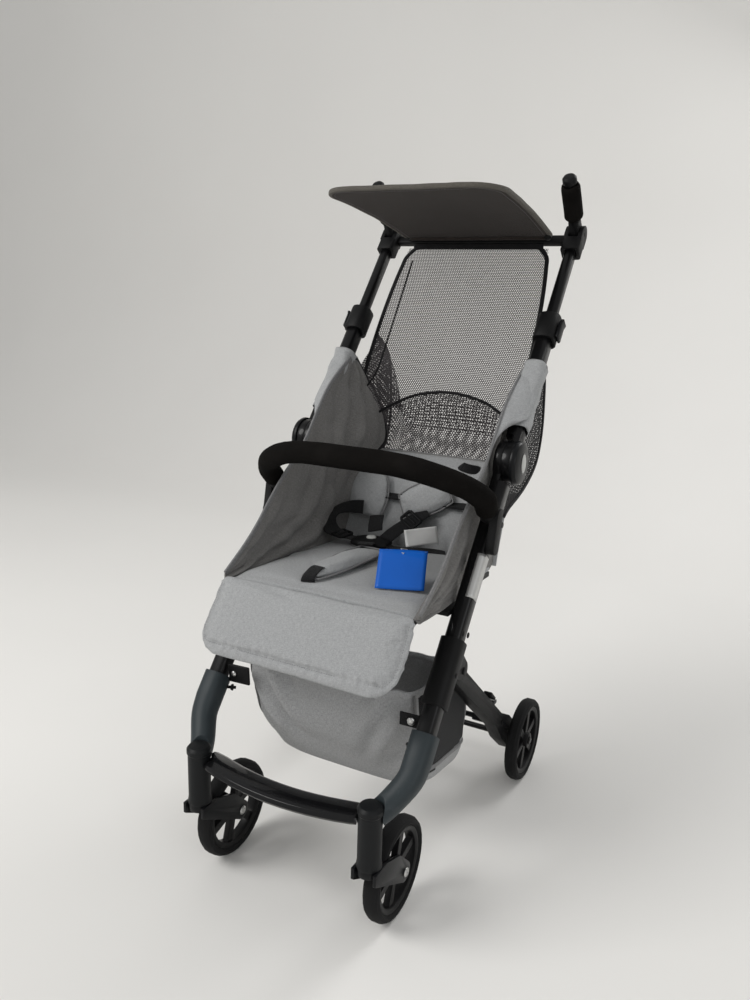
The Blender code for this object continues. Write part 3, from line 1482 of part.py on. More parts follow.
def make_back_shell():
    """The closed lower part of the back: a wall that curves under to the seat, and a cheek at each side."""
    wall = CLOTH_THICK
    knots = [
        Vector((BACK_SHELL_TOP_Y, BACK_SHELL_TOP_Z)),
        *map(Vector, BACK_SHELL_CURVE),
        Vector((BACK_LOW_Y, BACK_LOW_Z)) + Vector(BACK_FOOT_RISE),
        Vector((BACK_LOW_Y, BACK_LOW_Z)),
    ]
    rear = smooth_path(knots, 2)
    inside = []
    for i, point in enumerate(rear):
        run = (rear[min(i + 1, len(rear) - 1)] - rear[max(i - 1, 0)]).normalized()
        inside.append(point + wall * Vector((run.y, -run.x)))
    front = [
        (BACK_LOW_Y - 0.010, BACK_LOW_Z),
        BACK_CHEEK_FRONT,
        rail_line(BACK_CHEEK_LOW_ALONG, -BACK_CHEEK_BEHIND),
        rail_line(BACK_CHEEK_TOP_ALONG, -BACK_CHEEK_BEHIND),
    ]
    outline = [tuple(point) for point in rear] + front
    shell = prism("back_shell", outline, -BACK_HALF, BACK_HALF, BACK_NET)
    inner = [(inside[0].x, inside[0].y + 0.05)]
    inner += [tuple(point) for point in inside]
    inner += [(inside[-1].x - 0.003, inside[-1].y - 0.02), (-0.10, BACK_LOW_Z - 0.02), (-0.10, 0.75)]
    hollow = prism("back_shell_hollow", inner, -BACK_HALF + wall, BACK_HALF - wall, BACK_NET)
    cut(shell, hollow)
    for side in (-1, 1):
        near, far = side * BACK_FLAP_HALF, side * (BACK_HALF + 0.02)
        cut(shell, prism(f"back_shell_below_{side + 1}", BACK_CHEEK_CUT, near, far, BACK_NET))
    hang("fold", shell)


def net_point(share_x, share_z, outward):
    """A point of the net back: its sides start behind the rails and its middle bellies to the rear."""
    top_y, top_z = rail_line(BRIDGE_ALONG - BRIDGE_TALL / 2 - NET_THICK / 2, -BRIDGE_BEHIND)
    low_z = BACK_SHELL_TOP_Z + CLOTH_GAP
    low_y = BACK_SHELL_TOP_Y - CLOTH_THICK / 2
    z = low_z + (top_z - low_z) * share_z
    half = BACK_HALF - (BACK_HALF - NET_TOP_HALF) * share_z**3
    rail_y = top_y - (top_z - z) * math.tan(RAIL_LEAN)
    side_y = rail_y + NET_SIDE_BEHIND * (1 - share_z)
    belly = (low_y - (top_y - (top_z - low_z) * math.tan(RAIL_LEAN)) - NET_SIDE_BEHIND) * (1 - share_z) ** 3
    belly += NET_SAG * math.sin(math.pi * share_z)
    across = 2 * share_x - 1
    y = side_y + belly * (1 - abs(across) ** (2 + 3 * (1 - share_z) ** 2))
    return Vector((across * half, y + outward, z))


def make_net():
    """A grid of cells, each open in its middle, on a sheet of even thickness."""
    mesh = bmesh.new()
    rim = NET_STRAND_SHARE / 2

    def layer(outward):
        grid = [
            [
                mesh.verts.new(net_point(i / NET_COLUMNS, j / NET_ROWS, outward))
                for i in range(NET_COLUMNS + 1)
            ]
            for j in range(NET_ROWS + 1)
        ]
        cells = {}
        for j in range(NET_ROWS):
            for i in range(NET_COLUMNS):
                cells[i, j] = [
                    mesh.verts.new(net_point((i + a) / NET_COLUMNS, (j + b) / NET_ROWS, outward))
                    for a, b in ((rim, rim), (1 - rim, rim), (1 - rim, 1 - rim), (rim, 1 - rim))
                ]
        return grid, cells

    layers = [layer(-NET_THICK / 2), layer(NET_THICK / 2)]
    for grid, cells in layers:
        for (i, j), hole in cells.items():
            corners = [grid[j][i], grid[j][i + 1], grid[j + 1][i + 1], grid[j + 1][i]]
            for k in range(4):
                m = (k + 1) % 4
                mesh.faces.new((corners[k], corners[m], hole[m], hole[k]))
    for key in layers[0][1]:
        near, far = layers[0][1][key], layers[1][1][key]
        for k in range(4):
            m = (k + 1) % 4
            mesh.faces.new((near[k], near[m], far[m], far[k]))
    edge = [(i, 0) for i in range(NET_COLUMNS)] + [(NET_COLUMNS, j) for j in range(NET_ROWS)]
    edge += [(i, NET_ROWS) for i in range(NET_COLUMNS, 0, -1)] + [(0, j) for j in range(NET_ROWS, 0, -1)]
    for (i, j), (k, m) in zip(edge, edge[1:] + edge[:1]):
        near, far = layers[0][0], layers[1][0]
        mesh.faces.new((near[j][i], near[m][k], far[m][k], far[j][i]))
    hang("fold", finished("back_net", mesh, BACK_NET, 60))


def make_basket():
    """A soft tray open at the top, hung by a tab on each leg sleeve."""
    front_top, front_low, rear = BASKET_FRONT_TOP_Y, BASKET_FRONT_LOW_Y, BASKET_REAR_Y
    outer = [
        (front_top, BASKET_TOP_Z),
        (front_low, BASKET_BASE_Z + 0.030),
        (front_low + 0.020, BASKET_BASE_Z + 0.006),
        (front_low + 0.070, BASKET_BASE_Z),
        (rear - 0.040, BASKET_BASE_Z),
        (rear - 0.010, BASKET_BASE_Z + 0.020),
        (rear, BASKET_BASE_Z + 0.060),
        (rear, BASKET_TOP_Z - BASKET_REAR_DROP),
    ]
    basket = prism("basket", outer, -BASKET_HALF, BASKET_HALF, SIDE_CLOTH)
    wall = BASKET_WALL
    inner = [
        (front_top + wall, BASKET_TOP_Z + 0.02),
        (front_top + wall, BASKET_TOP_Z),
        (front_low + wall, BASKET_BASE_Z + 0.031),
        (front_low + 0.021 + wall / 2, BASKET_BASE_Z + 0.006 + wall),
        (front_low + 0.071, BASKET_BASE_Z + wall),
        (rear - 0.041, BASKET_BASE_Z + wall),
        (rear - 0.010 - wall, BASKET_BASE_Z + 0.021 + wall),
        (rear - wall, BASKET_BASE_Z + 0.061),
        (rear - wall, BASKET_TOP_Z + 0.02),
    ]
    hollow = prism("basket_hollow", inner, -BASKET_HALF + wall, BASKET_HALF - wall, SIDE_CLOTH)
    cut(basket, hollow)
    reach = RAIL_X - TUBE_WIDE / 2 - SLEEVE_WALL - GAP
    tab_z = BASKET_TOP_Z - 0.014
    tab_y = HUB_Y + (tab_z + BASKET_TAB_TALL / 2 - HUB_Z) * math.tan(RAIL_LEAN)
    for side in (-1, 1):
        outline = [
            (tab_y - BASKET_TAB_LONG / 2, tab_z),
            (tab_y + BASKET_TAB_LONG / 2, tab_z),
            (tab_y + BASKET_TAB_LONG / 2, tab_z + BASKET_TAB_TALL),
            (tab_y - BASKET_TAB_LONG / 2, tab_z + BASKET_TAB_TALL),
        ]
        near = BASKET_HALF - wall * 0.6
        join(basket, prism(f"basket_tab_{side + 1}", outline, side * near, side * reach, SIDE_CLOTH))


def main():
    make_pivots()
    make_leg_tubes()
    make_rails()
    make_hub_covers()
    make_sleeves()
    make_mouldings()
    make_caster_heads()
    make_forks()
    make_front_wheels()
    make_rear_wheels()
    make_rear_legs()
    make_brake()
    make_footrest()
    make_stems()
    make_clamps()
    make_handle_joints()
    make_grips()
    make_bridge_and_canopy()
    make_bumper()
    make_bumper_ends()
    make_seat()
    make_calf_rest()
    make_harness()
    make_wings()
    make_back_shell()
    make_net()
    make_basket()


for thing in list(bpy.data.objects):
    bpy.data.objects.remove(thing)

BLACK_METAL = material("black_painted_metal", (0.012, 0.012, 0.013), 0.38, 0.6)
BLACK_PLASTIC = material("black_plastic", (0.013, 0.013, 0.014), 0.5)
SATIN_BLACK = material("satin_black_plastic", (0.016, 0.017, 0.019), 0.32)
CHARCOAL_PLASTIC = material("charcoal_plastic", (0.022, 0.023, 0.026), 0.5)
SLATE_PLASTIC = material("slate_plastic", (0.062, 0.082, 0.094), 0.45)
GLOSS_BLACK = material("gloss_black_plastic", (0.008, 0.008, 0.009), 0.18)
WHEEL_PLASTIC = material("wheel_plastic", (0.012, 0.012, 0.013), 0.4)
RUBBER = material("tyre_rubber", (0.014, 0.014, 0.014), 0.75)
STEEL = material("plated_steel", (0.62, 0.61, 0.60), 0.25, 1.0)
FOAM = material("black_foam", (0.012, 0.011, 0.010), 0.85)
SEAT_CLOTH = material("light_grey_cloth", (0.36, 0.36, 0.37), 0.9)
SIDE_CLOTH = material("grey_cloth", (0.20, 0.20, 0.205), 0.9)
CANOPY_CLOTH = material("brown_grey_cloth", (0.040, 0.031, 0.028), 0.85)
BACK_NET = material("lilac_grey_net", (0.24, 0.21, 0.22), 0.8)
PALE_PLASTIC = material("pale_plastic", (0.62, 0.63, 0.60), 0.35)

main()
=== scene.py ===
# %% [markdown]
# # A compact folding stroller, dressed
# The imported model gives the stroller's frame: tubes, hubs, wheels, and plain solids in the place of every
# soft part. This lesson keeps the rigid parts, gives each a finish, and sews the soft parts anew. It starts
# with the model itself, because everything that follows is placed by it.

# %% Load the frame
import json
import math
from functools import partial

import bpy
import numpy as np
from mathutils import Matrix, Vector, noise


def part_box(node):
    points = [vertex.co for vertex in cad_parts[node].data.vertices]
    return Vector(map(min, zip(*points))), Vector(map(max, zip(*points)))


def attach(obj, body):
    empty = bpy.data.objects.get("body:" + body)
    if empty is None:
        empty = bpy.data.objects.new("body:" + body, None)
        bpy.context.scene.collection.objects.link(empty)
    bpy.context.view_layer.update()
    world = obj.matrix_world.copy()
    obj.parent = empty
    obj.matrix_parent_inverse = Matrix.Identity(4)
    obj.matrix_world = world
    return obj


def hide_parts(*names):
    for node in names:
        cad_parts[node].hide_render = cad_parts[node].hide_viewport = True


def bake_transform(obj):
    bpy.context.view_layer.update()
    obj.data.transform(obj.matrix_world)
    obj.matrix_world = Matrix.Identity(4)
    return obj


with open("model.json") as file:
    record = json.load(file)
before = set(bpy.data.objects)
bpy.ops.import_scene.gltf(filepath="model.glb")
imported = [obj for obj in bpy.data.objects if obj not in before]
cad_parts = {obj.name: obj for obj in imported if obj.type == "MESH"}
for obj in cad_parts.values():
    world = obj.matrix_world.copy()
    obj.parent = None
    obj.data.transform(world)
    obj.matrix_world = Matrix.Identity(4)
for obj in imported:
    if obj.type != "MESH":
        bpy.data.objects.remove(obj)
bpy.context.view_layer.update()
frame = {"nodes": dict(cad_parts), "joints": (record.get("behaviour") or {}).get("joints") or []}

# %% [markdown]
# ## Where things are
# The two side rails are one straight line each, from the caster to the handle. Most places on a stroller
# are easiest to say along that line, so the first helper gives a point by its distance up from the fold
# hub, its distance in front of the line and its distance out from it. The hub and the line's direction are
# measured on the model and not typed in, so the cloth follows when the frame changes.

# %% A ruler along the rails
joints = {joint["name"]: joint for joint in frame["joints"]}
hub_low, hub_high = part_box("hub_cover_right")
HUB = (hub_low + hub_high) / 2
stem_low, stem_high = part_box("stem_right")
RAIL_X = (stem_low.x + stem_high.x) / 2
UP_RAIL = Vector(joints["handle_slide"]["axis"]).normalized()
AHEAD = Vector((0, -UP_RAIL.z, UP_RAIL.y))
SIDES = {"left": -1, "right": 1}


def rail(side, along, ahead=0.0, out=0.0):
    """A point by its place along a side rail, in front of it and out from it."""
    return Vector((side * (RAIL_X + out), HUB.y, HUB.z)) + along * UP_RAIL + ahead * AHEAD


rail_lean = math.degrees(math.acos(UP_RAIL.z))
print("rails", round(RAIL_X, 4), "m from the middle, lean", round(rail_lean, 1), "degrees")

# %% [markdown]
# ## Shader maths that reads like maths
# A finish is a graph of nodes, and graphs built one link at a time are hard to read. Here a wire between
# two nodes is a small Python object. Adding, multiplying or comparing two wires adds the Math node that
# does it, so `height = warp * over + weft * (1 - over)` is all the code that a weave needs. Every other
# kind of node comes from one method, `node`, which takes its kind, its settings and its inputs.


# %% A wire and a finish
class Wire:
    """The output of a node, with Python's operators standing for Math nodes."""

    def __init__(self, finish, socket):
        self.finish = finish
        self.socket = socket

    def out(self, name):
        """Another output of the same node."""
        return Wire(self.finish, self.socket.node.outputs[name])

    def __add__(self, other):
        return self.finish.math("ADD", self, other)

    def __sub__(self, other):
        return self.finish.math("SUBTRACT", self, other)

    def __rsub__(self, other):
        return self.finish.math("SUBTRACT", other, self)

    def __mul__(self, other):
        return self.finish.math("MULTIPLY", self, other)

    def __gt__(self, other):
        return self.finish.math("GREATER_THAN", self, other)

    def __abs__(self):
        return self.finish.math("ABSOLUTE", self)

    __radd__ = __add__
    __rmul__ = __mul__


class Finish:
    """One material, started from a Principled shader whose even values are set by name."""

    def __init__(self, name, **even):
        self.material = bpy.data.materials.new(name)
        self.material.use_nodes = True
        self.tree = self.material.node_tree
        self.shader = self.tree.nodes["Principled BSDF"]
        for words, value in even.items():
            self.put(words.replace("_", " ").title().replace("Ior", "IOR"), value)

    def node(self, kind, settings, inputs, output=0):
        made = self.tree.nodes.new("ShaderNode" + kind)
        for name, setting in settings.items():
            setattr(made, name, setting)
        for place, value in inputs.items():
            self.feed(made.inputs[place], value)
        return Wire(self, made.outputs[output])

    def feed(self, socket, value):
        if isinstance(value, Wire):
            self.tree.links.new(value.socket, socket)
        elif hasattr(value, "__len__") and socket.type == "RGBA":
            socket.default_value = (*value, 1) if len(value) == 3 else value
        else:
            socket.default_value = value

    def put(self, name, value):
        """Sets or links one of the shader's own sockets."""
        self.feed(self.shader.inputs[name], value)

    def math(self, operation, first, second=0.0):
        return self.node("Math", {"operation": operation}, {0: first, 1: second})

    def sine(self, wire):
        return self.math("SINE", wire)

    def between(self, wire, low, high):
        """0 where the wire is at low, 1 where it is at high, and smooth between."""
        settings = {"interpolation_type": "SMOOTHSTEP"}
        return self.node("MapRange", settings, {"Value": wire, "From Min": low, "From Max": high})

    def where(self):
        """Places on the piece in metres."""
        return self.node("TexCoord", {}, {}, "Object")

    def times(self, wire, scales):
        return self.node("VectorMath", {"operation": "MULTIPLY"}, {0: wire, 1: scales})

    def parts(self, wire):
        split = self.node("SeparateXYZ", {}, {0: wire})
        return split, split.out("Y"), split.out("Z")

    def join(self, x, y, z=0.0):
        return self.node("CombineXYZ", {}, {0: x, 1: y, 2: z})

    def cloud(self, where, scale, detail=2.0, rough=0.5):
        values = {"Vector": where, "Scale": scale, "Detail": detail, "Roughness": rough}
        return self.node("TexNoise", {"normalize": True}, values)

    def blend(self, share, first, second):
        """One colour where the share is 0, the other where it is 1."""
        settings = {"data_type": "RGBA", "clamp_factor": True}
        return self.node("Mix", settings, {0: share, 6: first, 7: second}, 2)

    def raise_by(self, height, distance, strength=1.0):
        """Bump: height is a wire from 0 to 1, and distance is what 1 stands for in metres."""
        bump = self.node("Bump", {}, {"Height": height, "Distance": distance, "Strength": strength})
        self.put("Normal", bump)


finishes = {}
print("shader words ready")

# %% [markdown]
# ## Plastics, paint and steel
# Moulded plastic is never one even black. Its mould was etched, which gives a fine grain that scatters the
# light. Hands and shoes polish it unevenly, and dust settles in. So each of these finishes has three
# layers: a slow cloud that shifts colour and roughness a little, a fine grain in the bump, and a sparse
# cloud of small scuffs that are paler and rougher. One function makes them all, and each plastic
# only says its colour, its gloss and how coarse its grain is.


# %% Moulded and painted finishes
def moulded(name, colour, gloss, grain, depth, scuffed=0.25, **even):
    even.setdefault("specular_ior_level", 0.18)
    made = Finish(name, **even)
    where = made.where()
    slow = made.cloud(where, 22.0, 3.0)
    pores = made.cloud(where, 1.0 / grain, 2.0, 0.65)
    scuffs = made.between(made.cloud(made.times(where, (1, 1, 0.35)), 160.0, 4.0, 0.7), 0.60, 0.74)
    paler = tuple(c * 1.7 + 0.006 for c in colour)
    darker = tuple(c * 0.78 for c in colour)
    base = made.blend(slow, darker, colour)
    made.put("Base Color", made.blend(scuffs * scuffed, base, paler))
    made.put("Roughness", gloss + slow * 0.10 - 0.05 + scuffs * 0.12)
    made.raise_by(pores + slow * 0.4, depth)
    finishes[name] = made.material
    return made


moulded("black_paint", (0.0050, 0.0050, 0.0056), 0.36, 0.0016, 0.00006, 0.30, metallic=0.25, coat_weight=0.2)
moulded("black_plastic", (0.0052, 0.0053, 0.0057), 0.50, 0.0007, 0.00010)
moulded("satin_plastic", (0.0070, 0.0075, 0.0085), 0.33, 0.0011, 0.00005)
moulded("charcoal_plastic", (0.0085, 0.0094, 0.0102), 0.46, 0.0008, 0.00009)
moulded("slate_plastic", (0.0350, 0.0440, 0.0490), 0.44, 0.0008, 0.00008)
moulded("gloss_plastic", (0.0065, 0.0065, 0.0072), 0.20, 0.0030, 0.00003, 0.15, coat_weight=0.3)
moulded("wheel_plastic", (0.0065, 0.0065, 0.0070), 0.40, 0.0009, 0.00007, 0.5)
moulded("rubber", (0.0080, 0.0080, 0.0085), 0.74, 0.0006, 0.00012, 1.0)
moulded("pale_plastic", (0.5600, 0.5700, 0.5500), 0.30, 0.0012, 0.00003, 0.1)
moulded("white_card", (0.90, 0.90, 0.89), 0.62, 0.0005, 0.00003, 0.05)
moulded("blue_card", (0.0040, 0.1150, 0.5500), 0.42, 0.0006, 0.00003, 0.05, coat_weight=0.3)
moulded("silver_film", (0.62, 0.62, 0.61), 0.34, 0.0009, 0.00003, 0.15, metallic=0.6)


# %% [markdown]
# Bolts are plated steel. The die that formed them left fine rings, and the plating has dull spots where
# hands touched it. The rings are a stretched cloud: thousands of changes along the bolt, few across.


# %% Plated steel
def plated(name, colour):
    steel = Finish(name, metallic=1.0)
    where = steel.where()
    rings = steel.cloud(steel.times(where, (2600, 90, 90)), 1.0, 2.0)
    spots = steel.between(steel.cloud(where, 260.0, 3.0), 0.45, 0.7)
    steel.put("Base Color", steel.blend(spots, colour, tuple(c * 0.72 for c in colour)))
    steel.put("Roughness", 0.20 + rings * 0.14 + spots * 0.16)
    steel.raise_by(rings, 0.00003)
    finishes[name] = steel.material


plated("steel", (0.60, 0.60, 0.59))

# %% [markdown]
# ## Foam
# The bumper bar and the grips have sleeves of closed-cell rubber foam. From a step away it is a soft, dull
# black that never shines. Close up it is a skin of tiny pits. Cells are what a Voronoi texture draws, so
# its distance to the nearest cell's middle gives the pits, and a cloud varies their depth.


# %% Foam sleeve
def foam(name):
    made = Finish(name, specular_ior_level=0.03)
    where = made.where()
    cells = made.node("TexVoronoi", {"feature": "F1"}, {"Vector": where, "Scale": 1300.0}, "Distance")
    slow = made.cloud(where, 45.0, 3.0)
    rubbed = made.between(made.cloud(where, 18.0, 4.0), 0.5, 0.75)
    base = made.blend(slow, (0.0050, 0.0045, 0.0042), (0.0085, 0.0077, 0.0071))
    made.put("Base Color", made.blend(rubbed * 0.35, base, (0.0150, 0.0135, 0.0125)))
    made.put("Roughness", 0.80 + slow * 0.12)
    made.raise_by(1 - cells * (0.7 + slow * 0.6), 0.00012)
    finishes[name] = made.material


foam("foam")
print("finishes so far:", ", ".join(finishes))

# %% [markdown]
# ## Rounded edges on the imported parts
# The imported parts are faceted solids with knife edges, and no moulded part has those: the light runs along
# a small radius and draws the part's outline. The meshes themselves stay as they are. Four modifiers do the
# work when they are drawn. Weld joins the loose triangles, Decimate turns flat ones back into whole faces,
# Bevel rounds every sharp edge, and a small geometry node group shades the rest smooth wherever two faces
# meet at less than a given angle, so that a wheel's thirty-two flats read as round.


# %% Rounding and smooth shading
def smoothing_group(degrees):
    group = bpy.data.node_groups.new("smooth_below_" + str(degrees), "GeometryNodeTree")
    for way in ("INPUT", "OUTPUT"):
        group.interface.new_socket("Geometry", in_out=way, socket_type="NodeSocketGeometry")
    start = group.nodes.new("NodeGroupInput")
    end = group.nodes.new("NodeGroupOutput")
    faces, edges = (group.nodes.new("GeometryNodeSetShadeSmooth") for _ in range(2))
    faces.domain, edges.domain = "FACE", "EDGE"
    edges.inputs["Shade Smooth"].default_value = False
    angle = group.nodes.new("GeometryNodeInputMeshEdgeAngle")
    sharp = group.nodes.new("FunctionNodeCompare")
    sharp.operation = "GREATER_THAN"
    sharp.inputs[1].default_value = math.radians(degrees)
    group.links.new(angle.outputs["Unsigned Angle"], sharp.inputs[0])
    group.links.new(start.outputs[0], faces.inputs["Geometry"])
    group.links.new(faces.outputs["Geometry"], edges.inputs["Geometry"])
    group.links.new(sharp.outputs[0], edges.inputs["Selection"])
    group.links.new(edges.outputs["Geometry"], end.inputs[0])
    return group


SMOOTH = smoothing_group(32)


def round_off(piece, radius, finish, flat_below=38):
    """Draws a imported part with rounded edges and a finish, and leaves its own mesh alone."""
    if "custom_normal" in piece.data.attributes:
        piece.data.attributes.remove(piece.data.attributes["custom_normal"])
    weld = piece.modifiers.new("weld", "WELD")
    weld.merge_threshold = 0.00001
    flat = piece.modifiers.new("flat", "DECIMATE")
    flat.decimate_type = "DISSOLVE"
    flat.angle_limit = math.radians(0.8)
    if radius:
        bevel = piece.modifiers.new("edge", "BEVEL")
        bevel.width = radius
        bevel.segments = 2
        bevel.limit_method = "ANGLE"
        bevel.angle_limit = math.radians(flat_below)
        bevel.use_clamp_overlap = True
    smooth = piece.modifiers.new("smooth", "NODES")
    smooth.node_group = SMOOTH
    piece.data.materials.clear()
    piece.data.materials.append(finishes[finish])


# %% Which finish each rigid part has
# For both sides: the finish, and the radius of the rounded edges
RIGID = {
    "leg_tube": ("black_paint", 0.0006),
    "rail": ("black_paint", 0.0006),
    "stem": ("black_paint", 0.0005),
    "hub_cover": ("satin_plastic", 0.0010),
    "leg_sleeve": ("black_plastic", 0.0010),
    "leg_moulding": ("slate_plastic", 0.0012),
    "caster_head": ("charcoal_plastic", 0.0008),
    "caster_fork": ("satin_plastic", 0.0008),
    "front_wheel": ("wheel_plastic", 0.0008),
    "front_tyre": ("rubber", 0),
    "front_axle": ("steel", 0.0003),
    "rear_wheel": ("wheel_plastic", 0.0008),
    "rear_tyre": ("rubber", 0),
    "rear_leg": ("black_plastic", 0.0012),
    "clamp": ("black_plastic", 0.0010),
    "clamp_lever": ("satin_plastic", 0.0006),
    "handle_joint": ("black_plastic", 0.0008),
    "grip_core": ("black_plastic", 0.0005),
    "bumper_end": ("black_plastic", 0.0012),
}
SINGLE = {
    "rear_axle": ("black_paint", 0.0003),
    "brake_bar": ("satin_plastic", 0.0008),
    "footrest_bar": ("gloss_plastic", 0.0010),
    "handle_bridge": ("black_plastic", 0.0006),
    "canopy_rod": ("black_paint", 0.0004),
    "seat_board": ("black_plastic", 0.0008),
    "buckle": ("black_plastic", 0.0010),
    "buckle_button": ("pale_plastic", 0.0005),
}
rigid = {stem + "_" + side: look for stem, look in RIGID.items() for side in SIDES}
for name, (finish, radius) in {**rigid, **SINGLE}.items():
    round_off(frame["nodes"][name], radius, finish)
print("finished", len(rigid) + len(SINGLE), "rigid parts")

# %% [markdown]
# ## The camera
# The camera stands where the photograph was taken from: a little over a metre ahead of the stroller's
# middle and half a metre to one side, lower than the handle, looking down a little. Its place was worked
# out beforehand from points that can be found on both the photograph and the model, such as the wheels'
# middles and the rails' ends. The field of view matches too, and the picture is taller than wide, so the
# sensor's size is its long side's.

# %% Camera
EYE = Vector((0.5431, -1.0797, 0.8112))
YAW, PITCH, ROLL = 0.4848, 0.2428, 0.0300
LENS = 29.71


def make_camera():
    ahead = Vector((-math.sin(YAW) * math.cos(PITCH), math.cos(YAW) * math.cos(PITCH), -math.sin(PITCH)))
    right = Vector((math.cos(YAW), math.sin(YAW), 0))
    up = right.cross(ahead)
    tilted_right = math.cos(ROLL) * right + math.sin(ROLL) * up
    tilted_up = math.cos(ROLL) * up - math.sin(ROLL) * right
    turn = Matrix((tilted_right, tilted_up, -ahead)).transposed()
    data = bpy.data.cameras.new("camera")
    data.sensor_fit = "AUTO"
    data.sensor_width = 36
    data.lens = LENS
    data.clip_start = 0.05
    camera = bpy.data.objects.new("camera", data)
    camera.matrix_world = Matrix.Translation(EYE) @ turn.to_4x4()
    bpy.context.scene.collection.objects.link(camera)
    bpy.context.scene.camera = camera


make_camera()
print("camera at", [round(v, 3) for v in EYE])

# %% [markdown]
# ## Woven cloth
# The seat, the side panels and the basket are one kind of cloth: a plain weave whose yarns were spun from
# light and dark fibres together. From the camera the weave is too fine to see, and the mottle is what makes
# it look like cloth. So the colour comes from streaks that run along each yarn, and the bump from the yarns
# crossing over and under each other. Places are taken from the axis that the surface faces least, which
# keeps the weave even on the top, the sides and the front of a piece without any unwrapping.


# %% Weave
def woven(name, pale, dark, pitch=0.0012, depth=0.00016):
    """A plain weave: pitch is from yarn to yarn, and depth is how far a yarn stands up."""
    made = Finish(name, sheen_weight=0.08, sheen_roughness=0.5, specular_ior_level=0.2)
    where = made.where()
    x, y, z = made.parts(where)
    facing = made.node("TexCoord", {}, {}, "Normal")
    across, along, upward = (abs(part) for part in made.parts(facing))
    side_on = (across > along) * (across > upward)
    face_up = (upward > along) * (upward > across)
    u = y * side_on + x * (1 - side_on)
    v = y * face_up + z * (1 - face_up)
    warp = made.sine(u * (math.tau / pitch))
    weft = made.sine(v * (math.tau / pitch))
    over = warp * weft > 0
    thread = abs(warp) * over + abs(weft) * (1 - over)
    warp_fibre = made.cloud(made.join(u * 1400, v * 190), 1.0, 2.0)
    weft_fibre = made.cloud(made.join(u * 190, v * 1400), 1.0, 2.0)
    fleck = made.between(warp_fibre * over + weft_fibre * (1 - over), 0.34, 0.68)
    slow = made.cloud(where, 16.0, 3.0)
    base = made.blend(fleck, dark, pale)
    worn = tuple(0.5 * a + 0.5 * b for a, b in zip(pale, dark))
    made.put("Base Color", made.blend(slow * 0.35, base, worn))
    made.put("Roughness", 0.82 + slow * 0.12)
    made.raise_by(thread + slow * 0.5, depth)
    finishes[name] = made.material


woven("pale_cloth", (0.470, 0.477, 0.484), (0.295, 0.302, 0.309))
woven("side_cloth", (0.262, 0.256, 0.249), (0.128, 0.124, 0.119))
woven("basket_cloth", (0.500, 0.503, 0.508), (0.265, 0.268, 0.273))
woven("black_cloth", (0.013, 0.013, 0.014), (0.006, 0.006, 0.007))
woven("canopy_cloth", (0.044, 0.034, 0.030), (0.021, 0.016, 0.014), 0.0010)
woven("canopy_top_cloth", (0.200, 0.196, 0.192), (0.090, 0.088, 0.086))
woven("binding", (0.150, 0.140, 0.122), (0.075, 0.068, 0.058), 0.0009)
woven("grey_binding", (0.300, 0.300, 0.305), (0.150, 0.150, 0.152), 0.0009)
woven("strap", (0.011, 0.011, 0.012), (0.004, 0.004, 0.005), 0.0016, 0.00030)

# %% [markdown]
# The two nets are knitted from a twisted yarn, so their finish is that of one thread: a cloud that is
# stretched along the yarn stands for the twist, in the bump and in the roughness. The grey net's colour
# changes slowly over the piece, and the black one's from twist to twist.


# %% Net yarn
def yarn(name, dark, pale, roughness, sheen, slowly=False):
    made = Finish(name, sheen_weight=sheen, specular_ior_level=0.2)
    where = made.where()
    twist = made.cloud(made.times(where, (900, 900, 300)), 1.0, 2.0)
    tone = made.cloud(where, 20.0, 2.0) if slowly else twist
    made.put("Base Color", made.blend(tone, dark, pale))
    made.put("Roughness", roughness + twist * 0.16)
    made.raise_by(twist, 0.00012)
    finishes[name] = made.material


yarn("net_yarn", (0.050, 0.045, 0.047), (0.074, 0.067, 0.070), 0.66, 0.05, slowly=True)
yarn("black_net", (0.010, 0.010, 0.011), (0.024, 0.023, 0.024), 0.70, 0.03)
print("finishes:", len(finishes))

# %% [markdown]
# ## Cutting and sewing
# Every soft part is drawn by a few helpers. `through` bends a smooth line through some points and `spread`
# spaces its points evenly, so a stitch or a fold keeps its size along it. `grid_piece` makes a panel from
# rows of points. `ribbon` sweeps a flat rounded section along a line: that one helper makes the straps,
# the bindings, the piping and the strings, which differ only in width and thickness.


# %% Lines
def evenly(low, high, count):
    return [low + (high - low) * i / (count - 1) for i in range(count)]


def through(points, steps=6):
    """A smooth line through the points, with some steps between each two."""
    points = [Vector(p) for p in points]
    line = []
    for i in range(len(points) - 1):
        a, b, c, d = (points[min(max(i + k, 0), len(points) - 1)] for k in (-1, 0, 1, 2))
        for j in range(steps):
            t = j / steps
            bend = (2 * a - 5 * b + 4 * c - d) * t * t + (3 * b - a - 3 * c + d) * t**3
            line.append(b + 0.5 * ((c - a) * t + bend))
    return [*line, points[-1]]


def spread(line, count):
    """The same line with this many points, evenly spaced along it."""
    reach = [0.0]
    for a, b in zip(line, line[1:]):
        reach.append(reach[-1] + (b - a).length)
    wanted = evenly(0, reach[-1], count)
    parts = [np.interp(wanted, reach, [p[k] for p in line]) for k in range(3)]
    return [Vector((float(x), float(y), float(z))) for x, y, z in zip(*parts)]


def length_of(line):
    return sum((b - a).length for a, b in zip(line, line[1:]))


def round_turn(count):
    """Angles all the way round, without the last one, which would be the first again."""
    return evenly(0, math.tau, count + 1)[:-1]


def blunt(part, power):
    """A sine or cosine whose circle becomes a rounded square as the power falls below 1."""
    return math.copysign(abs(part) ** power, part)


def square_up(run, up):
    """The way across, and the way up when it is set square to the run."""
    across = up.cross(run).normalized()
    return across, run.cross(across)


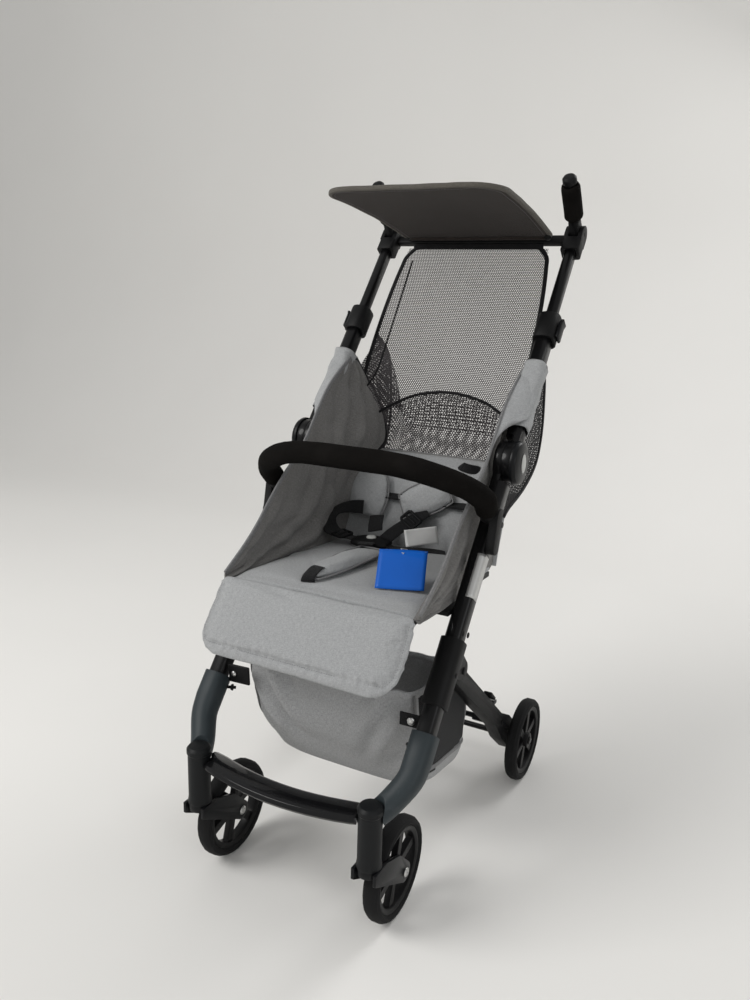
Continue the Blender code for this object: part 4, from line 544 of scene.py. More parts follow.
# %% Panels and ribbons
def new_piece(name, points, faces, finish):
    data = bpy.data.meshes.new(name)
    data.from_pydata([tuple(p) for p in points], [], faces)
    data.validate()
    data.shade_smooth()
    data.materials.append(finishes[finish])
    piece = bpy.data.objects.new(name, data)
    bpy.context.scene.collection.objects.link(piece)
    return piece


def ride_on(body, *pieces):
    for piece in pieces:
        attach(piece, body)


def area_of(piece):
    return sum(face.area for face in piece.data.polygons)


def grid_piece(name, rows, finish, thick, closed=False):
    """A panel from rows of points, made thick evenly to both sides. Closed joins each row's ends."""
    count = len(rows[0])
    points = [p for row in rows for p in row]
    faces = []
    for j in range(len(rows) - 1):
        for i in range(count if closed else count - 1):
            k = (i + 1) % count
            faces.append((j * count + i, j * count + k, (j + 1) * count + k, (j + 1) * count + i))
    piece = new_piece(name, points, faces, finish)
    both = piece.modifiers.new("thick", "SOLIDIFY")
    both.thickness = thick
    both.offset = 0
    return piece


def tube_faces(count, sides, first=0, ring=False):
    """The faces round a row of sections, with both ends closed unless the row is a ring."""
    faces = []
    for i in range(count if ring else count - 1):
        here, there = first + i * sides, first + (i + 1) % count * sides
        for k in range(sides):
            m = (k + 1) % sides
            faces.append((here + k, here + m, there + m, there + k))
    if not ring:
        faces.append(tuple(first + k for k in range(sides))[::-1])
        faces.append(tuple(first + (count - 1) * sides + k for k in range(sides)))
    return faces


def ribbon(name, line, facing, wide, thick, finish, sides=10, ring=False):
    """A flat rounded band along a line. Facing is the way that its broad side looks, one or one a point."""
    count = len(line)
    points = []
    for i, place in enumerate(line):
        before = line[i - 1] if ring else line[max(i - 1, 0)]
        after = line[(i + 1) % count] if ring else line[min(i + 1, count - 1)]
        run = (after - before).normalized()
        across, up = square_up(run, Vector(facing[i] if isinstance(facing, list) else facing))
        for turn in round_turn(sides):
            a, b = blunt(math.cos(turn), 0.6), blunt(math.sin(turn), 0.6)
            points.append(place + across * a * wide / 2 + up * b * thick / 2)
    return new_piece(name, points, tube_faces(count, sides, 0, ring), finish)


def string(name, line, radius, finish, sides=8):
    """A round line, whichever way it runs."""
    way = Vector((0.31, 0.22, 0.92)).normalized()
    return ribbon(name, line, way, 2 * radius, 2 * radius, finish, sides)


STITCH = ((0.0, 0.4), (0.25, 1.0), (0.75, 1.0), (1.0, 0.4))


def stitches(name, line, facing, step, long, radius):
    """Short threads in a row, as one piece. Each is four rings of six points, small at both ends."""
    count = max(2, int(length_of(line) / step))
    places = spread(line, count + 1)
    points, faces = [], []
    for start, after in zip(places, places[1:]):
        run = (after - start).normalized()
        across, up = square_up(run, facing)
        faces += tube_faces(len(STITCH), 6, len(points))
        for end, size in STITCH:
            for turn in round_turn(6):
                out = (across * math.cos(turn) + up * math.sin(turn)) * radius * size
                points.append(start + run * long * end + out)
    return new_piece(name, points, faces, "grey_binding")


print("sewing words ready")

# %% [markdown]
# ## Stuffed pads
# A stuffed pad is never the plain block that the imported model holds. Its cloth is held at the seams and
# swells between them. So each pad starts from its block, a little smaller, gets an even mesh, and is blown
# up by a short cloth simulation with a limit on how far any point may move. Seams, channels and creases
# are pressed in afterwards: `press` pulls in every point near a line, most at the line itself, and puckers
# the cloth beside it where a seam was drawn tight.


# %% Reading and moving a mesh
def settle(piece):
    """Turns what the modifiers make into the piece's own mesh."""
    bpy.context.view_layer.update()
    shown = piece.evaluated_get(bpy.context.evaluated_depsgraph_get())
    data = bpy.data.meshes.new_from_object(shown)
    piece.modifiers.clear()
    piece.data = data


def numbers_of(items, kind):
    data = np.empty(3 * len(items), np.float32)
    items.foreach_get(kind, data)
    return data.reshape(-1, 3).astype(float)


def places_of(piece):
    return numbers_of(piece.data.vertices, "co")


def ways_of(piece):
    """The way out of the surface at each point."""
    return numbers_of(piece.data.vertex_normals, "vector")


def move_to(piece, places):
    piece.data.vertices.foreach_set("co", places.astype(np.float32).ravel())
    piece.data.update()


# %% Blowing up a pad
SWELL_STEPS = 20
CLOTH = {"quality": 4, "mass": 0.3, "use_pressure": True}
CLOTH.update({"tension_stiffness": 15, "compression_stiffness": 15})


def blow_up(piece, pressure, cap):
    """Runs the cloth. What moves inward keeps a tenth of its motion, and no point moves past the cap."""
    start, ways = places_of(piece), ways_of(piece)
    cloth = piece.modifiers.new("swell", "CLOTH")
    for name, setting in CLOTH.items():
        setattr(cloth.settings, name, setting)
    cloth.settings.uniform_pressure_force = pressure
    cloth.settings.effector_weights.gravity = 0
    cloth.point_cache.frame_start = 1
    cloth.point_cache.frame_end = SWELL_STEPS
    for step in range(1, SWELL_STEPS + 1):
        bpy.context.scene.frame_set(step)
    settle(piece)
    moved = places_of(piece) - start
    outward = (moved * ways).sum(axis=1, keepdims=True)
    moved[outward[:, 0] < 0] *= 0.1
    reach = np.linalg.norm(moved, axis=1, keepdims=True)
    move_to(piece, start + moved * np.minimum(1, cap / np.maximum(reach, 1e-9)))
    bpy.context.scene.frame_set(1)


def stuffed(node, finish, voxel=0.005, shrink=0.0015, cap=0.006, pressure=4.0):
    """A pad from a packed block: its mesh made even, drawn in a little and then blown up."""
    source = frame["nodes"][node]
    piece = bpy.data.objects.new(node + "_cloth", source.data.copy())
    piece.data.transform(source.matrix_world)
    bpy.context.scene.collection.objects.link(piece)
    even = piece.modifiers.new("even", "REMESH")
    even.mode = "VOXEL"
    even.voxel_size = voxel
    settle(piece)
    move_to(piece, places_of(piece) - shrink * ways_of(piece))
    blow_up(piece, pressure, cap)
    piece.data.materials.clear()
    piece.data.materials.append(finishes[finish])
    piece.data.shade_smooth()
    return piece


def finish_pad(piece, node, body):
    """Hides the packed block that a padded piece replaces, and puts the piece on what it rides on."""
    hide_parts(node)
    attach(piece, body)


# %% Seams and creases
def near_line(places, line):
    """For each place: its distance to the line, and how far along the line it is nearest."""
    best = np.full(len(places), 1e9)
    along = np.zeros(len(places))
    reach = 0.0
    for a, b in zip(line, line[1:]):
        run = np.array(b - a)
        long = max(np.linalg.norm(run), 1e-9)
        share = np.clip((places - np.array(a)) @ run / long**2, 0, 1)
        gap = np.linalg.norm(places - np.array(a) - share[:, None] * run, axis=1)
        closer = gap < best
        best[closer] = gap[closer]
        along[closer] = (reach + share * long)[closer]
        reach += long
    return best, along


def press(piece, line, depth, width, pucker=0.0, every=0.014, facing=None):
    """Pulls the cloth in along a line, and puckers it beside the line. Facing spares the other sides."""
    places, ways = places_of(piece), ways_of(piece)
    gap, along = near_line(places, line)
    pull = depth * np.exp(-((gap / width) ** 2))
    if pucker:
        uneven = np.sin(along * math.tau / every + 2.0 * np.sin(along * 61)) * np.sin(along * 173 + 1)
        pull += pucker * uneven * np.exp(-((gap - 1.5 * width) / (1.6 * width)) ** 2)
    if facing:
        pull *= np.clip(ways @ np.array(facing) * 2 - 0.9, 0, 1)
    move_to(piece, places - pull[:, None] * ways)


def rumple(piece, height, size, seed=0.0):
    """A slow unevenness, as any stuffing has."""
    places, ways = places_of(piece), ways_of(piece)
    lift = [noise.noise(Vector(p) / size + Vector((seed, 0, 0))) for p in places]
    move_to(piece, places + height * np.array(lift)[:, None] * ways)


def finer(piece):
    more = piece.modifiers.new("finer", "SUBSURF")
    more.levels = 1
    more.render_levels = 1
    settle(piece)
    piece.data.shade_smooth()


def touch(source, start, way):
    """Where a straight line from start first meets a piece, or None."""
    back = source.matrix_world.inverted()
    hit, place, _, _ = source.ray_cast(back @ start, back.to_3x3() @ way)
    return source.matrix_world @ place if hit else None


def on_top(x, y, source):
    """The highest point at x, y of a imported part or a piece, and a point far below where it has none."""
    place = touch(source, Vector((x, y, 2)), Vector((0, 0, -1)))
    return Vector((x, y, place.z if place else -1.0))


print("stuffing words ready")

# %% [markdown]
# ## Seat
# The seat is one long pad with a soft fold across its front, where the calf rest begins, and a few shallow
# creases towards its corners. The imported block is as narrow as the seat's middle, and the cloth is wider in
# front and behind, so its sides are drawn out there at the end.

# %% Seat pad
seat_node = frame["nodes"]["seat_pad"]
seat_low, seat_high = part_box("seat_pad")
seat = stuffed("seat_pad", "pale_cloth", cap=0.003)
rumple(seat, 0.0016, 0.055, 3.0)
seat_fold = [on_top(x, seat_low.y + 0.016, seat_node) for x in evenly(seat_low.x, seat_high.x, 12)]
press(seat, seat_fold, 0.0016, 0.006)
CREASES = ((-0.12, -0.05, -0.05, -0.12), (0.03, -0.15, 0.11, -0.06), (0.06, -0.16, 0.125, -0.12))
for x, y, to_x, to_y in CREASES:
    crease = [on_top(x + (to_x - x) * t, y + (to_y - y) * t, seat_node) for t in evenly(0, 1, 6)]
    press(seat, crease, 0.0013, 0.005)
finer(seat)
places = places_of(seat)
ahead_share = np.clip((-0.10 - places[:, 1]) / 0.104, 0, 1)
behind_share = np.clip((places[:, 1] + 0.066) / 0.016, 0, 1)
places[:, 0] *= 1 + 0.042 * ahead_share + 0.066 * behind_share
move_to(seat, places)
finish_pad(seat, "seat_pad", "frame")
print("seat:", len(seat.data.vertices), "points")

# %% [markdown]
# ## Calf rest
# The calf rest hangs forward and down. A line of stitches runs round it a finger's width in, and the cloth
# puckers along it, most at the lower left. A shallow crease runs across it from the seat's corner, as in
# the photograph. Places on its front are given by two shares: across from -1 to 1 and down from 0 to 1.


# %% Places on the calf rest
calf_node = frame["nodes"]["calf_rest"]
calf_low, calf_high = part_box("calf_rest")
CALF_TOP = Vector((0, calf_high.y - 0.004, calf_high.z - 0.008))
CALF_FOOT = Vector((0, calf_low.y + 0.008, calf_low.z + 0.006))
CALF_LONG = (CALF_FOOT - CALF_TOP).length
CALF_DOWN = (CALF_FOOT - CALF_TOP).normalized()
CALF_OUT = Vector((0, CALF_DOWN.z, -CALF_DOWN.y))


def calf_front(across, down):
    start = CALF_TOP + CALF_DOWN * CALF_LONG * down + Vector((across * calf_high.x, 0, 0)) + CALF_OUT * 0.1
    return touch(calf_node, start, -CALF_OUT)


def calf_line(shares):
    return [p for p in (calf_front(a, d) for a, d in shares) if p]


# %% Calf rest
CALF_SIDE = [(0.945, 0.10), (0.945, 0.45), (0.935, 0.72), (0.90, 0.84), (0.82, 0.90), (0.4, 0.915)]
CALF_WIDER, CALF_WIDER_BELOW, CALF_LONGER = 1.008, 0.024, 0.0065
calf = stuffed("calf_rest", "pale_cloth", cap=0.004)
seam_shares = [*((-a, d) for a, d in CALF_SIDE), (0, 0.915), *CALF_SIDE[::-1]]
calf_seam = spread(through(calf_line(seam_shares), 6), 160)
rumple(calf, 0.0012, 0.050, 8.0)
finer(calf)
press(calf, calf_seam, 0.0034, 0.0026, 0.0014, 0.017, CALF_OUT)
press(calf, calf_line([(-0.42, 0.05), (-0.1, 0.16), (0.3, 0.28), (0.62, 0.33)]), 0.0016, 0.006)
for k in range(6):
    a = -0.62 + 0.085 * k
    press(calf, calf_line([(a, 0.90), (a + 0.012 * (k % 3 - 1), 0.80 - 0.03 * (k % 2))]), 0.0012, 0.0024)
places = places_of(calf)
down = np.clip((places - np.array(CALF_TOP)) @ np.array(CALF_DOWN) / CALF_LONG, 0, 1)
places[:, 0] *= CALF_WIDER + CALF_WIDER_BELOW * down
places += (CALF_LONGER * down**2)[:, None] * np.array(CALF_DOWN)
move_to(calf, places)
finish_pad(calf, "calf_rest", "calf_rest")
calf_thread = []
for p in calf_seam:
    d = min(1, max(0, (p - CALF_TOP).dot(CALF_DOWN) / CALF_LONG))
    wider = Vector((p.x * (CALF_WIDER + CALF_WIDER_BELOW * d), p.y, p.z))
    calf_thread.append(wider + CALF_DOWN * CALF_LONGER * d * d - CALF_OUT * 0.0012)
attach(stitches("calf_stitches", calf_thread, CALF_OUT, 0.0036, 0.0022, 0.0003), "calf_rest")
print("calf rest:", len(calf.data.vertices), "points")

# %% [markdown]
# ## Harness pads
# Two shoulder pads lie against the back's foot and one pad lies between the legs. They are small stuffed
# bags with a cord sewn into their edge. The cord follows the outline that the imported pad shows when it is
# looked at from the way it faces.


# %% Shoulder pads and crotch pad
def outline_of(node, facing, count=60):
    """The outline that a packed pad shows when looked at along a direction."""
    source = frame["nodes"][node]
    places = np.array([source.matrix_world @ v.co for v in source.data.vertices])
    middle = Vector(places.mean(axis=0))
    across = Vector((1, 0, 0))
    up = facing.cross(across).normalized()
    flat = (places - np.array(middle)) @ np.array([across, up]).T
    line = []
    for turn in round_turn(count):
        best = flat[np.argmax(flat @ np.array([math.cos(turn), math.sin(turn)]))]
        line.append(middle + across * float(best[0]) + up * float(best[1]))
    return spread([*line, line[0]], count + 1)[:-1]


BACK_WAY, UP = Vector((0, -0.949, 0.316)), Vector((0, 0, 1))
PAD_CORD = (0.0026, 0.0026, "grey_binding", 8)
PADS = {"shoulder_pad_left": (0.007, BACK_WAY), "shoulder_pad_right": (0.007, BACK_WAY)}
PADS["crotch_pad"] = (0.004, UP)
for name, (cap, facing) in PADS.items():
    small = stuffed(name, "pale_cloth", 0.004, 0.001, cap, 7.0)
    rumple(small, 0.0014, 0.030, cap * 500 + len(name))
    finer(small)
    finish_pad(small, name, "frame")
for name, (cap, facing) in PADS.items():
    rim = outline_of(name, facing)
    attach(ribbon(name + "_edge", rim, facing, *PAD_CORD, ring=True), "frame")
print("harness pads done")

# %% [markdown]
# ## The net back
# The back is a knitted net, light enough to see the room through. It is modelled as what it is: a lattice
# of six-sided holes in staggered rows, each with its own rim, about three and a half millimetres apart. The
# net hangs from the bridge between the two stems, its sides start behind the rails, and its middle bellies
# out to the rear. A black piped arc divides it from a second, looser piece of net below, which curves under
# and is sewn to the solid cloth of the back's foot.


# %% Where the net lies
shell_low, shell_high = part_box("back_shell")
net_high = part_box("back_net")[1]
BACK_HALF = 0.1440
NARROWER_ABOVE, NARROWER_BELOW = 0.0190, 0.0040
TOP_Y, TOP_Z = net_high.y - 0.0012, net_high.z - 0.001
LEAN = UP_RAIL.y / UP_RAIL.z
# The middle of the back from its foot to the bridge: y and z
BACK_KNOTS = [(0.0990, 0.4060), (0.1040, 0.4300), (0.1295, 0.5055), (0.1555, 0.5375), (0.1955, 0.5625)]
BACK_KNOTS += [(0.2105, 0.6000), (0.2040, 0.6550), (0.2105, 0.7150), (0.2330, 0.7800), (0.2620, 0.8400)]
BACK_KNOTS += [(TOP_Y, TOP_Z)]
midline = spread(through([(0, y, z) for y, z in BACK_KNOTS], 8), 401)
MID_Y, MID_Z = [p.y for p in midline], [p.z for p in midline]
MID_REACH = [0.0]
for a, b in zip(midline, midline[1:]):
    MID_REACH.append(MID_REACH[-1] + math.hypot(b.y - a.y, b.z - a.z))


def back_point(across, reach):
    """A point on the back: across from -1 to 1, and this far up its middle from its foot."""
    y = float(np.interp(reach, MID_REACH, MID_Y))
    z = float(np.interp(reach, MID_REACH, MID_Z))
    up = max(0.0, (z - shell_high.z) / (TOP_Z - shell_high.z))
    half = BACK_HALF - NARROWER_ABOVE * up**3
    side_y = TOP_Y - (TOP_Z - z) * LEAN + 0.048 * (1 - up)
    if z < shell_high.z:
        under = (shell_high.z - z) / (shell_high.z - shell_low.z)
        side_y = min(y, y - (y - side_y) * max(0, 1 - 1.6 * under))
        half = BACK_HALF - NARROWER_BELOW * under
    curl = abs(across) ** (2 + 3 * (1 - up) ** 2)
    deep = y + (side_y - y) * curl
    gather = 0.0035 * math.exp(-((abs(across) - 0.62) / 0.10) ** 2) * math.sin(math.pi * min(1, up))
    ripple = 0.0012 * math.sin(across * 23 + 5 * z) * (0.3 + 0.7 * abs(across))
    return Vector((across * half, deep - gather + ripple, z))


def reach_at(z):
    """How far up the back a height lies."""
    return float(np.interp(z, MID_Z, MID_REACH))


SEAM_REACH = reach_at(0.5520)
ARC_SIDE, ARC_MIDDLE = reach_at(0.6080), reach_at(0.6565)
FULL_REACH = MID_REACH[-1]


def arc_reach(across):
    """How far up the back the piped arc lies."""
    return ARC_SIDE + (ARC_MIDDLE - ARC_SIDE) * (1 - abs(across / 0.90) ** 2.2)


print("back:", round(FULL_REACH, 3), "m from its foot to the bridge")

# %% [markdown]
# The lattice is made flat first. Each hole is a hexagon inside the hexagon that the lattice gives it, and
# six faces fill the rim between the two. The flat net is then laid on the back: a place across and a place
# up become a point of the back's surface. Knitted net stretches as it is laid, so the holes do too.

# %% Knitting
HEXAGON = [(0, 2 / 3), (0.5, 1 / 3), (0.5, -1 / 3), (0, -2 / 3), (-0.5, -1 / 3), (-0.5, 1 / 3)]
ROW_TO_ROW = 0.82


def hex_net(name, holes, place, hole, finish):
    """A net from its holes' middles, counted in columns and rows. Place gives the point for such a count."""
    points, faces, known = [], [], {}
    for u, v in holes:
        outer = []
        for a, b in HEXAGON:
            key = (round(12 * (u + a)), round(12 * (v + b)))
            if key not in known:
                known[key] = len(points)
                points.append(place(u + a, v + b))
            outer.append(known[key])
        start = len(points)
        points.extend(place(u + a * hole, v + b * hole) for a, b in HEXAGON)
        for k in range(6):
            m = (k + 1) % 6
            faces.append((outer[k], start + k, start + m, outer[m]))
    return new_piece(name, points, faces, finish)


def knit(name, low, high, pitch, hole):
    """Net between two lines, each giving how far up the back it lies for a place across from -1 to 1."""
    rise = pitch * ROW_TO_ROW
    first = int(min(low(0), low(0.98)) / rise) - 1
    last = int(max(high(0), high(0.98)) / rise) + 2
    columns = int(BACK_HALF / pitch) + 2
    holes = []
    for j in range(first, last):
        for i in range(-columns, columns + 1):
            u = i + 0.5 * (j % 2)
            across = u * pitch / BACK_HALF
            inside = abs(u * pitch) <= BACK_HALF - 0.5 * pitch
            if inside and low(across) <= j * rise <= high(across):
                holes.append((u, j))
    return hex_net(name, holes, lambda u, v: back_point(u * pitch / BACK_HALF, v * rise), hole, "net_yarn")


def net_sheet(name, place, wide, high, pitch, hole):
    """Black net on any surface: place takes two shares from 0 to 1."""
    columns, lines = round(wide / pitch), round(high / (pitch * ROW_TO_ROW))
    holes = [(i + 0.5 * (j % 2) - 0.25, j) for j in range(1, lines) for i in range(1, columns)]

    def laid(u, v):
        return place(min(1, max(0, u / columns)), min(1, max(0, v / lines)))

    return hex_net(name, holes, laid, hole, "black_net")


upper_net = knit("upper_net", arc_reach, lambda a: FULL_REACH - 0.005, 0.0036, 0.60)
lower_net = knit("lower_net", lambda a: SEAM_REACH, arc_reach, 0.0040, 0.62)
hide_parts("back_net")
print("net holes:", (len(upper_net.data.polygons) + len(lower_net.data.polygons)) // 6)

# %% [markdown]
# ## The back's foot and the seat's tail
# Below the net the back is solid grey cloth, which goes down behind the seat. A short tail of cloth runs on
# from the seat's rear edge over the board.


# %% Foot of the back and tail of the seat
def across_row(reach, count, half=1.0, lift=0.0):
    return [back_point(a, reach) + Vector((0, lift, 0)) for a in evenly(-half, half, count)]


foot_rows = [across_row(r, 33) for r in evenly(0.0, SEAM_REACH + 0.002, 22)]
foot = grid_piece("back_foot", foot_rows, "pale_cloth", 0.0030)
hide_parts("back_shell")
TAIL = ((0.0800, 0.4125), (0.0945, 0.4080), (0.1040, 0.4010), (0.1180, 0.3960), (0.1300, 0.3920))
TAIL_HALF = 0.1200
tail_rows = [[Vector((a * TAIL_HALF, y, z)) for a in evenly(-1, 1, 21)] for y, z in TAIL]
tail = grid_piece("seat_tail", tail_rows, "side_cloth", 0.0016)
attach(tail, "frame")
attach(foot, "upper_frame")

# %% [markdown]
# ## The pouch behind the back
# Behind the foot hangs a pouch of black net. It is sewn on along the arc, and at its sides higher up, and
# goes round to the seat's rear. Two more pieces of net close the space between the pouch and the side
# panels, and its lowest part is solid cloth.

# %% Shape of the pouch
# The pouch's outline seen from the side, from the net's edge behind the rail round to the seat's rear
POUCH = [(0.2120, 0.7450), (0.2450, 0.7240), (0.2660, 0.6950), (0.2745, 0.6500), (0.2760, 0.6000)]
POUCH += [(0.2650, 0.5600), (0.2440, 0.5360), (0.2080, 0.5170), (0.1720, 0.5050), (0.1300, 0.4950)]
POUCH += [(0.1080, 0.4850)]
pouch_side = spread(through([(0, y, z) for y, z in POUCH], 8), 90)
pouch_long = length_of(pouch_side)


def ease(share):
    """From 0 to 1 with a soft start and a soft end."""
    return share * share * (3 - 2 * share)


def pouch_line(share):
    reach = min(1, max(0, share)) * (len(pouch_side) - 1)
    low = min(int(reach), len(pouch_side) - 2)
    return pouch_side[low].lerp(pouch_side[low + 1], reach - low)


def pouch_point(across, share):
    """A point on the pouch: it starts at the arc, and at its sides higher up, and goes round to its foot."""
    beside = ease(min(1, max(0, (abs(across) - 0.74) / 0.26)))
    first = 0.36 * (1 - beside)
    place = pouch_line(first + (1 - first) * share)
    belly = 0.006 * (1 - across * across) * math.sin(math.pi * share)
    gather = 0.0020 * math.sin(19 * across + 7 * share) * math.sin(math.pi * share)
    place = Vector((across * BACK_HALF, place.y + belly + gather, place.z - belly))
    sewn = back_point(across * 0.97, arc_reach(min(0.95, abs(across)))) + Vector((0, 0.0020, 0))
    sewn = sewn.lerp(Vector((across * BACK_HALF, pouch_side[0].y, pouch_side[0].z)), beside)
    return sewn.lerp(place, ease(min(1, share / 0.22)))


def cheek_point(side, out, share):
    """A point on the pouch's side, from the side panel at 0 to the pouch's edge at 1."""
    goal = pouch_line(share)
    start = rail(side, min(0.150, max(-0.060, 0.150 - 0.215 * share)), -0.020)
    x = BACK_HALF + 0.0012 * math.sin(9 * out + 5 * share) * math.sin(math.pi * out)
    return Vector((side * x, start.y + (goal.y - start.y) * out, start.z + (goal.z - start.z) * out))


# %% Pouch
POUCH_HOLE, CHEEK_WIDE = 0.66, 0.085
POUCH_PITCH, CHEEK_PITCH = 0.0054, 0.0050
POUCH_TRIM = (0.0075, 0.0036, "black_cloth")


def over_pouch(u, v):
    return pouch_point(2 * u - 1, v)


pouch = net_sheet("rear_pouch", over_pouch, 2 * BACK_HALF, pouch_long, POUCH_PITCH, POUCH_HOLE)
pouch_foot = [[pouch_point(a, s) for a in evenly(-1, 1, 31)] for s in evenly(0.80, 1.0, 14)]
pouch_pieces = [grid_piece("rear_pouch_base", pouch_foot, "black_cloth", 0.0020)]
for name, side in SIDES.items():
    laid = partial(cheek_point, side)
    cheek = net_sheet("pouch_side_" + name, laid, CHEEK_WIDE, pouch_long, CHEEK_PITCH, 0.36)
    edge = spread([Vector((side * BACK_HALF, p.y, p.z)) for p in pouch_side], 90)
    pouch_pieces.append(ribbon("pouch_edge_" + name, edge, (side, 0, 0), *POUCH_TRIM))
    "side_panel_" + name
    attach(cheek, "upper_frame")
ride_on("upper_frame", *pouch_pieces, pouch)
print("pouch:", round(pouch_long, 3), "m round")

# %% [markdown]
# ## The net's edges
# Black binding is sewn round the net's free edges and along the bridge, and black piping along the arc. A
# thin seam runs up the left side, where the net was taken in. The upper net reaches from the upper frame up
# to the handle.

# %% Binding, piping and seams
# Width, thickness and finish of each, and the radius of what is round
SEAM_BAND, SIDE_SEAM = (0.0035, 0.0016, "side_cloth"), (0.0030, 0.0016, "black_cloth")
NET_BINDING = (0.0070, 0.0030, "black_cloth")
ARC_ROUND, HEM_ROUND = (0.0024, "black_cloth"), (0.0042, "black_cloth")
arc = [back_point(a, arc_reach(a)) + Vector((0, -0.0015, 0)) for a in evenly(-0.90, 0.90, 80)]
arc_piping = string("arc_piping", arc, *ARC_ROUND)
seam = across_row(SEAM_REACH, 60, 0.96, -0.002)
seam_band = ribbon("net_seam", seam, (0, -1, 0.3), *SEAM_BAND)
left_edge, right_edge = (
    [back_point(side * 0.985, r) for r in evenly(reach_at(0.660), FULL_REACH - 0.020, 40)] for side in (-1, 1)
)
top_row = [back_point(a, FULL_REACH - 0.0035) for a in evenly(-0.88, 0.88, 50)]
net_rim = spread(through(spread([*left_edge, *top_row, *right_edge[::-1]], 60), 4), 200)
net_binding = ribbon("net_binding", net_rim, (0, -0.8, 0.6), *NET_BINDING)
hem_line = [back_point(a, FULL_REACH - 0.001) for a in evenly(-0.93, 0.93, 50)]
hem_tube = string("net_top_hem", hem_line, *HEM_ROUND)
SEAM_PLACES = [(0.86, 0.872), (0.82, 0.812), (0.83, 0.745), (0.88, 0.685), (0.955, 0.655)]
seam_line = [back_point(-a, reach_at(z)) + Vector((0, -0.0012, 0)) for a, z in SEAM_PLACES]
seam_line = spread(through(seam_line, 8), 60)
side_seam = ribbon("side_seam", seam_line, (0, -0.9, 0.4), *SIDE_SEAM)

# %% What the net hangs from
upper_flat = (2 * BACK_HALF, FULL_REACH - ARC_SIDE)
upper_area = 0.66 * upper_flat[0] * upper_flat[1]
upper_extras = [net_binding, side_seam]
low_part, high_part = back_point(0, reach_at(0.66)), back_point(0, FULL_REACH - 0.02)
low_part.x = high_part.x = 0
for piece in (upper_net, *upper_extras):
    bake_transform(piece)
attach(hem_tube, "handle")
ride_on("upper_frame", seam_band, lower_net, arc_piping)
print("back done: net area", round(area_of(upper_net), 4), "and", round(area_of(lower_net), 4), "m2")

# %% [markdown]
# ## Side panels
# Each side panel is one piece of cloth that is sewn to the seat's edge and pulled up to the rail, where it
# becomes a sleeve round the tube. Cloth pulled like that falls into long soft folds that run down from the
# rail, so the panel is a fine grid whose rows run from its front edge to its rear edge, with the folds added
# as a slow wave across it.

# %% Edges of a side panel
# The front edge as y and z, from the rail's sleeve down to the seat
PANEL_FRONT = [(0.1405, 0.7120), (0.1000, 0.6900), (0.0630, 0.6640), (0.0340, 0.6320), (0.0010, 0.5920)]
PANEL_FRONT += [(-0.0260, 0.5680), (-0.0630, 0.5410), (-0.1000, 0.5090), (-0.1280, 0.4820), (-0.1600, 0.4570)]
PANEL_FRONT += [(-0.2060, 0.4280)]
# The rear edge and then the seam along the seat, as x, y and z
PANEL_REAR = [(0.1505, 0.1500, 0.7080), (0.1430, 0.1640, 0.6840), (0.1300, 0.1830, 0.6500)]
PANEL_REAR += [(0.1190, 0.1920, 0.6200), (0.1120, 0.1940, 0.5920), (0.1070, 0.1860, 0.5640)]
PANEL_REAR += [(0.1150, 0.1430, 0.5300), (0.1290, 0.1110, 0.4700), (0.1345, 0.0900, 0.4080)]
PANEL_REAR += [(0.1350, -0.0200, 0.4110), (0.1455, -0.0620, 0.4095), (0.1500, -0.1200, 0.4115)]
PANEL_REAR += [(0.1530, -0.2070, 0.4180)]
PANEL_COLUMNS, PANEL_LINES = 44, 120
panel_front = spread(through([(RAIL_X - 0.0155, y, z) for y, z in PANEL_FRONT], 10), PANEL_LINES)
panel_rear = spread(through(PANEL_REAR, 10), PANEL_LINES)


# %% Shape of a side panel
def panel_fold(place, side, s, t):
    """How far the cloth stands out, s across the panel and t down it: two waves, and two rough clouds."""
    wave = math.sin(13 * s - 10 * t + 0.9 * math.sin(7 * t) + side)
    fold = 0.0070 * (1 - abs(wave)) + 0.0030 * math.sin(7 * t + 5 * s)
    fold += 0.0034 * math.sin(20 * s - 9 * t + 1.3) * (0.4 + 0.6 * t)
    where = Vector((place.y, place.z, side * 3.0))
    ridges = 0.5 - 2 * abs(noise.noise(where * 19 + Vector((0, 0.7 * where.y, 4))))
    return fold + 0.0014 * noise.noise(where * 45) + 0.0070 * ridges


def panel_rows(side):
    rows = []
    for t, low, high in zip(evenly(0, 1, PANEL_LINES), panel_front, panel_rear):
        row = []
        for s in evenly(0, 1, PANEL_COLUMNS):
            place = low.lerp(high, s)
            held = math.sin(math.pi * s) ** 0.7
            bow = 0.006 * min(1, 3 * t)
            out = min(place.x + held * (panel_fold(place, side, s, t) - bow), RAIL_X - 0.0150)
            row.append(Vector((side * out, place.y, place.z)))
        rows.append(row)
    return rows


# %% Sleeve round the rail, and the flap beside it
# The flap's outer edge, by the ruler along the rail: up it, in front of it and out from it
FLAP_OUTER = [(0.1630, 0.006, 0.0168), (0.1300, 0.006, 0.0168), (0.0950, 0.007, 0.0168)]
FLAP_OUTER += [(0.0700, 0.011, 0.0160), (0.0580, 0.0195, 0.0090), (0.0500, 0.0215, -0.0010)]
FLAP_OUTER += [(0.0420, 0.0250, -0.0100), (0.0330, 0.0300, -0.0150)]
SLEEVE_LOW, SLEEVE_HIGH = 0.053, 0.166
SLEEVE_WIDE, SLEEVE_DEEP = 0.0158, 0.0168


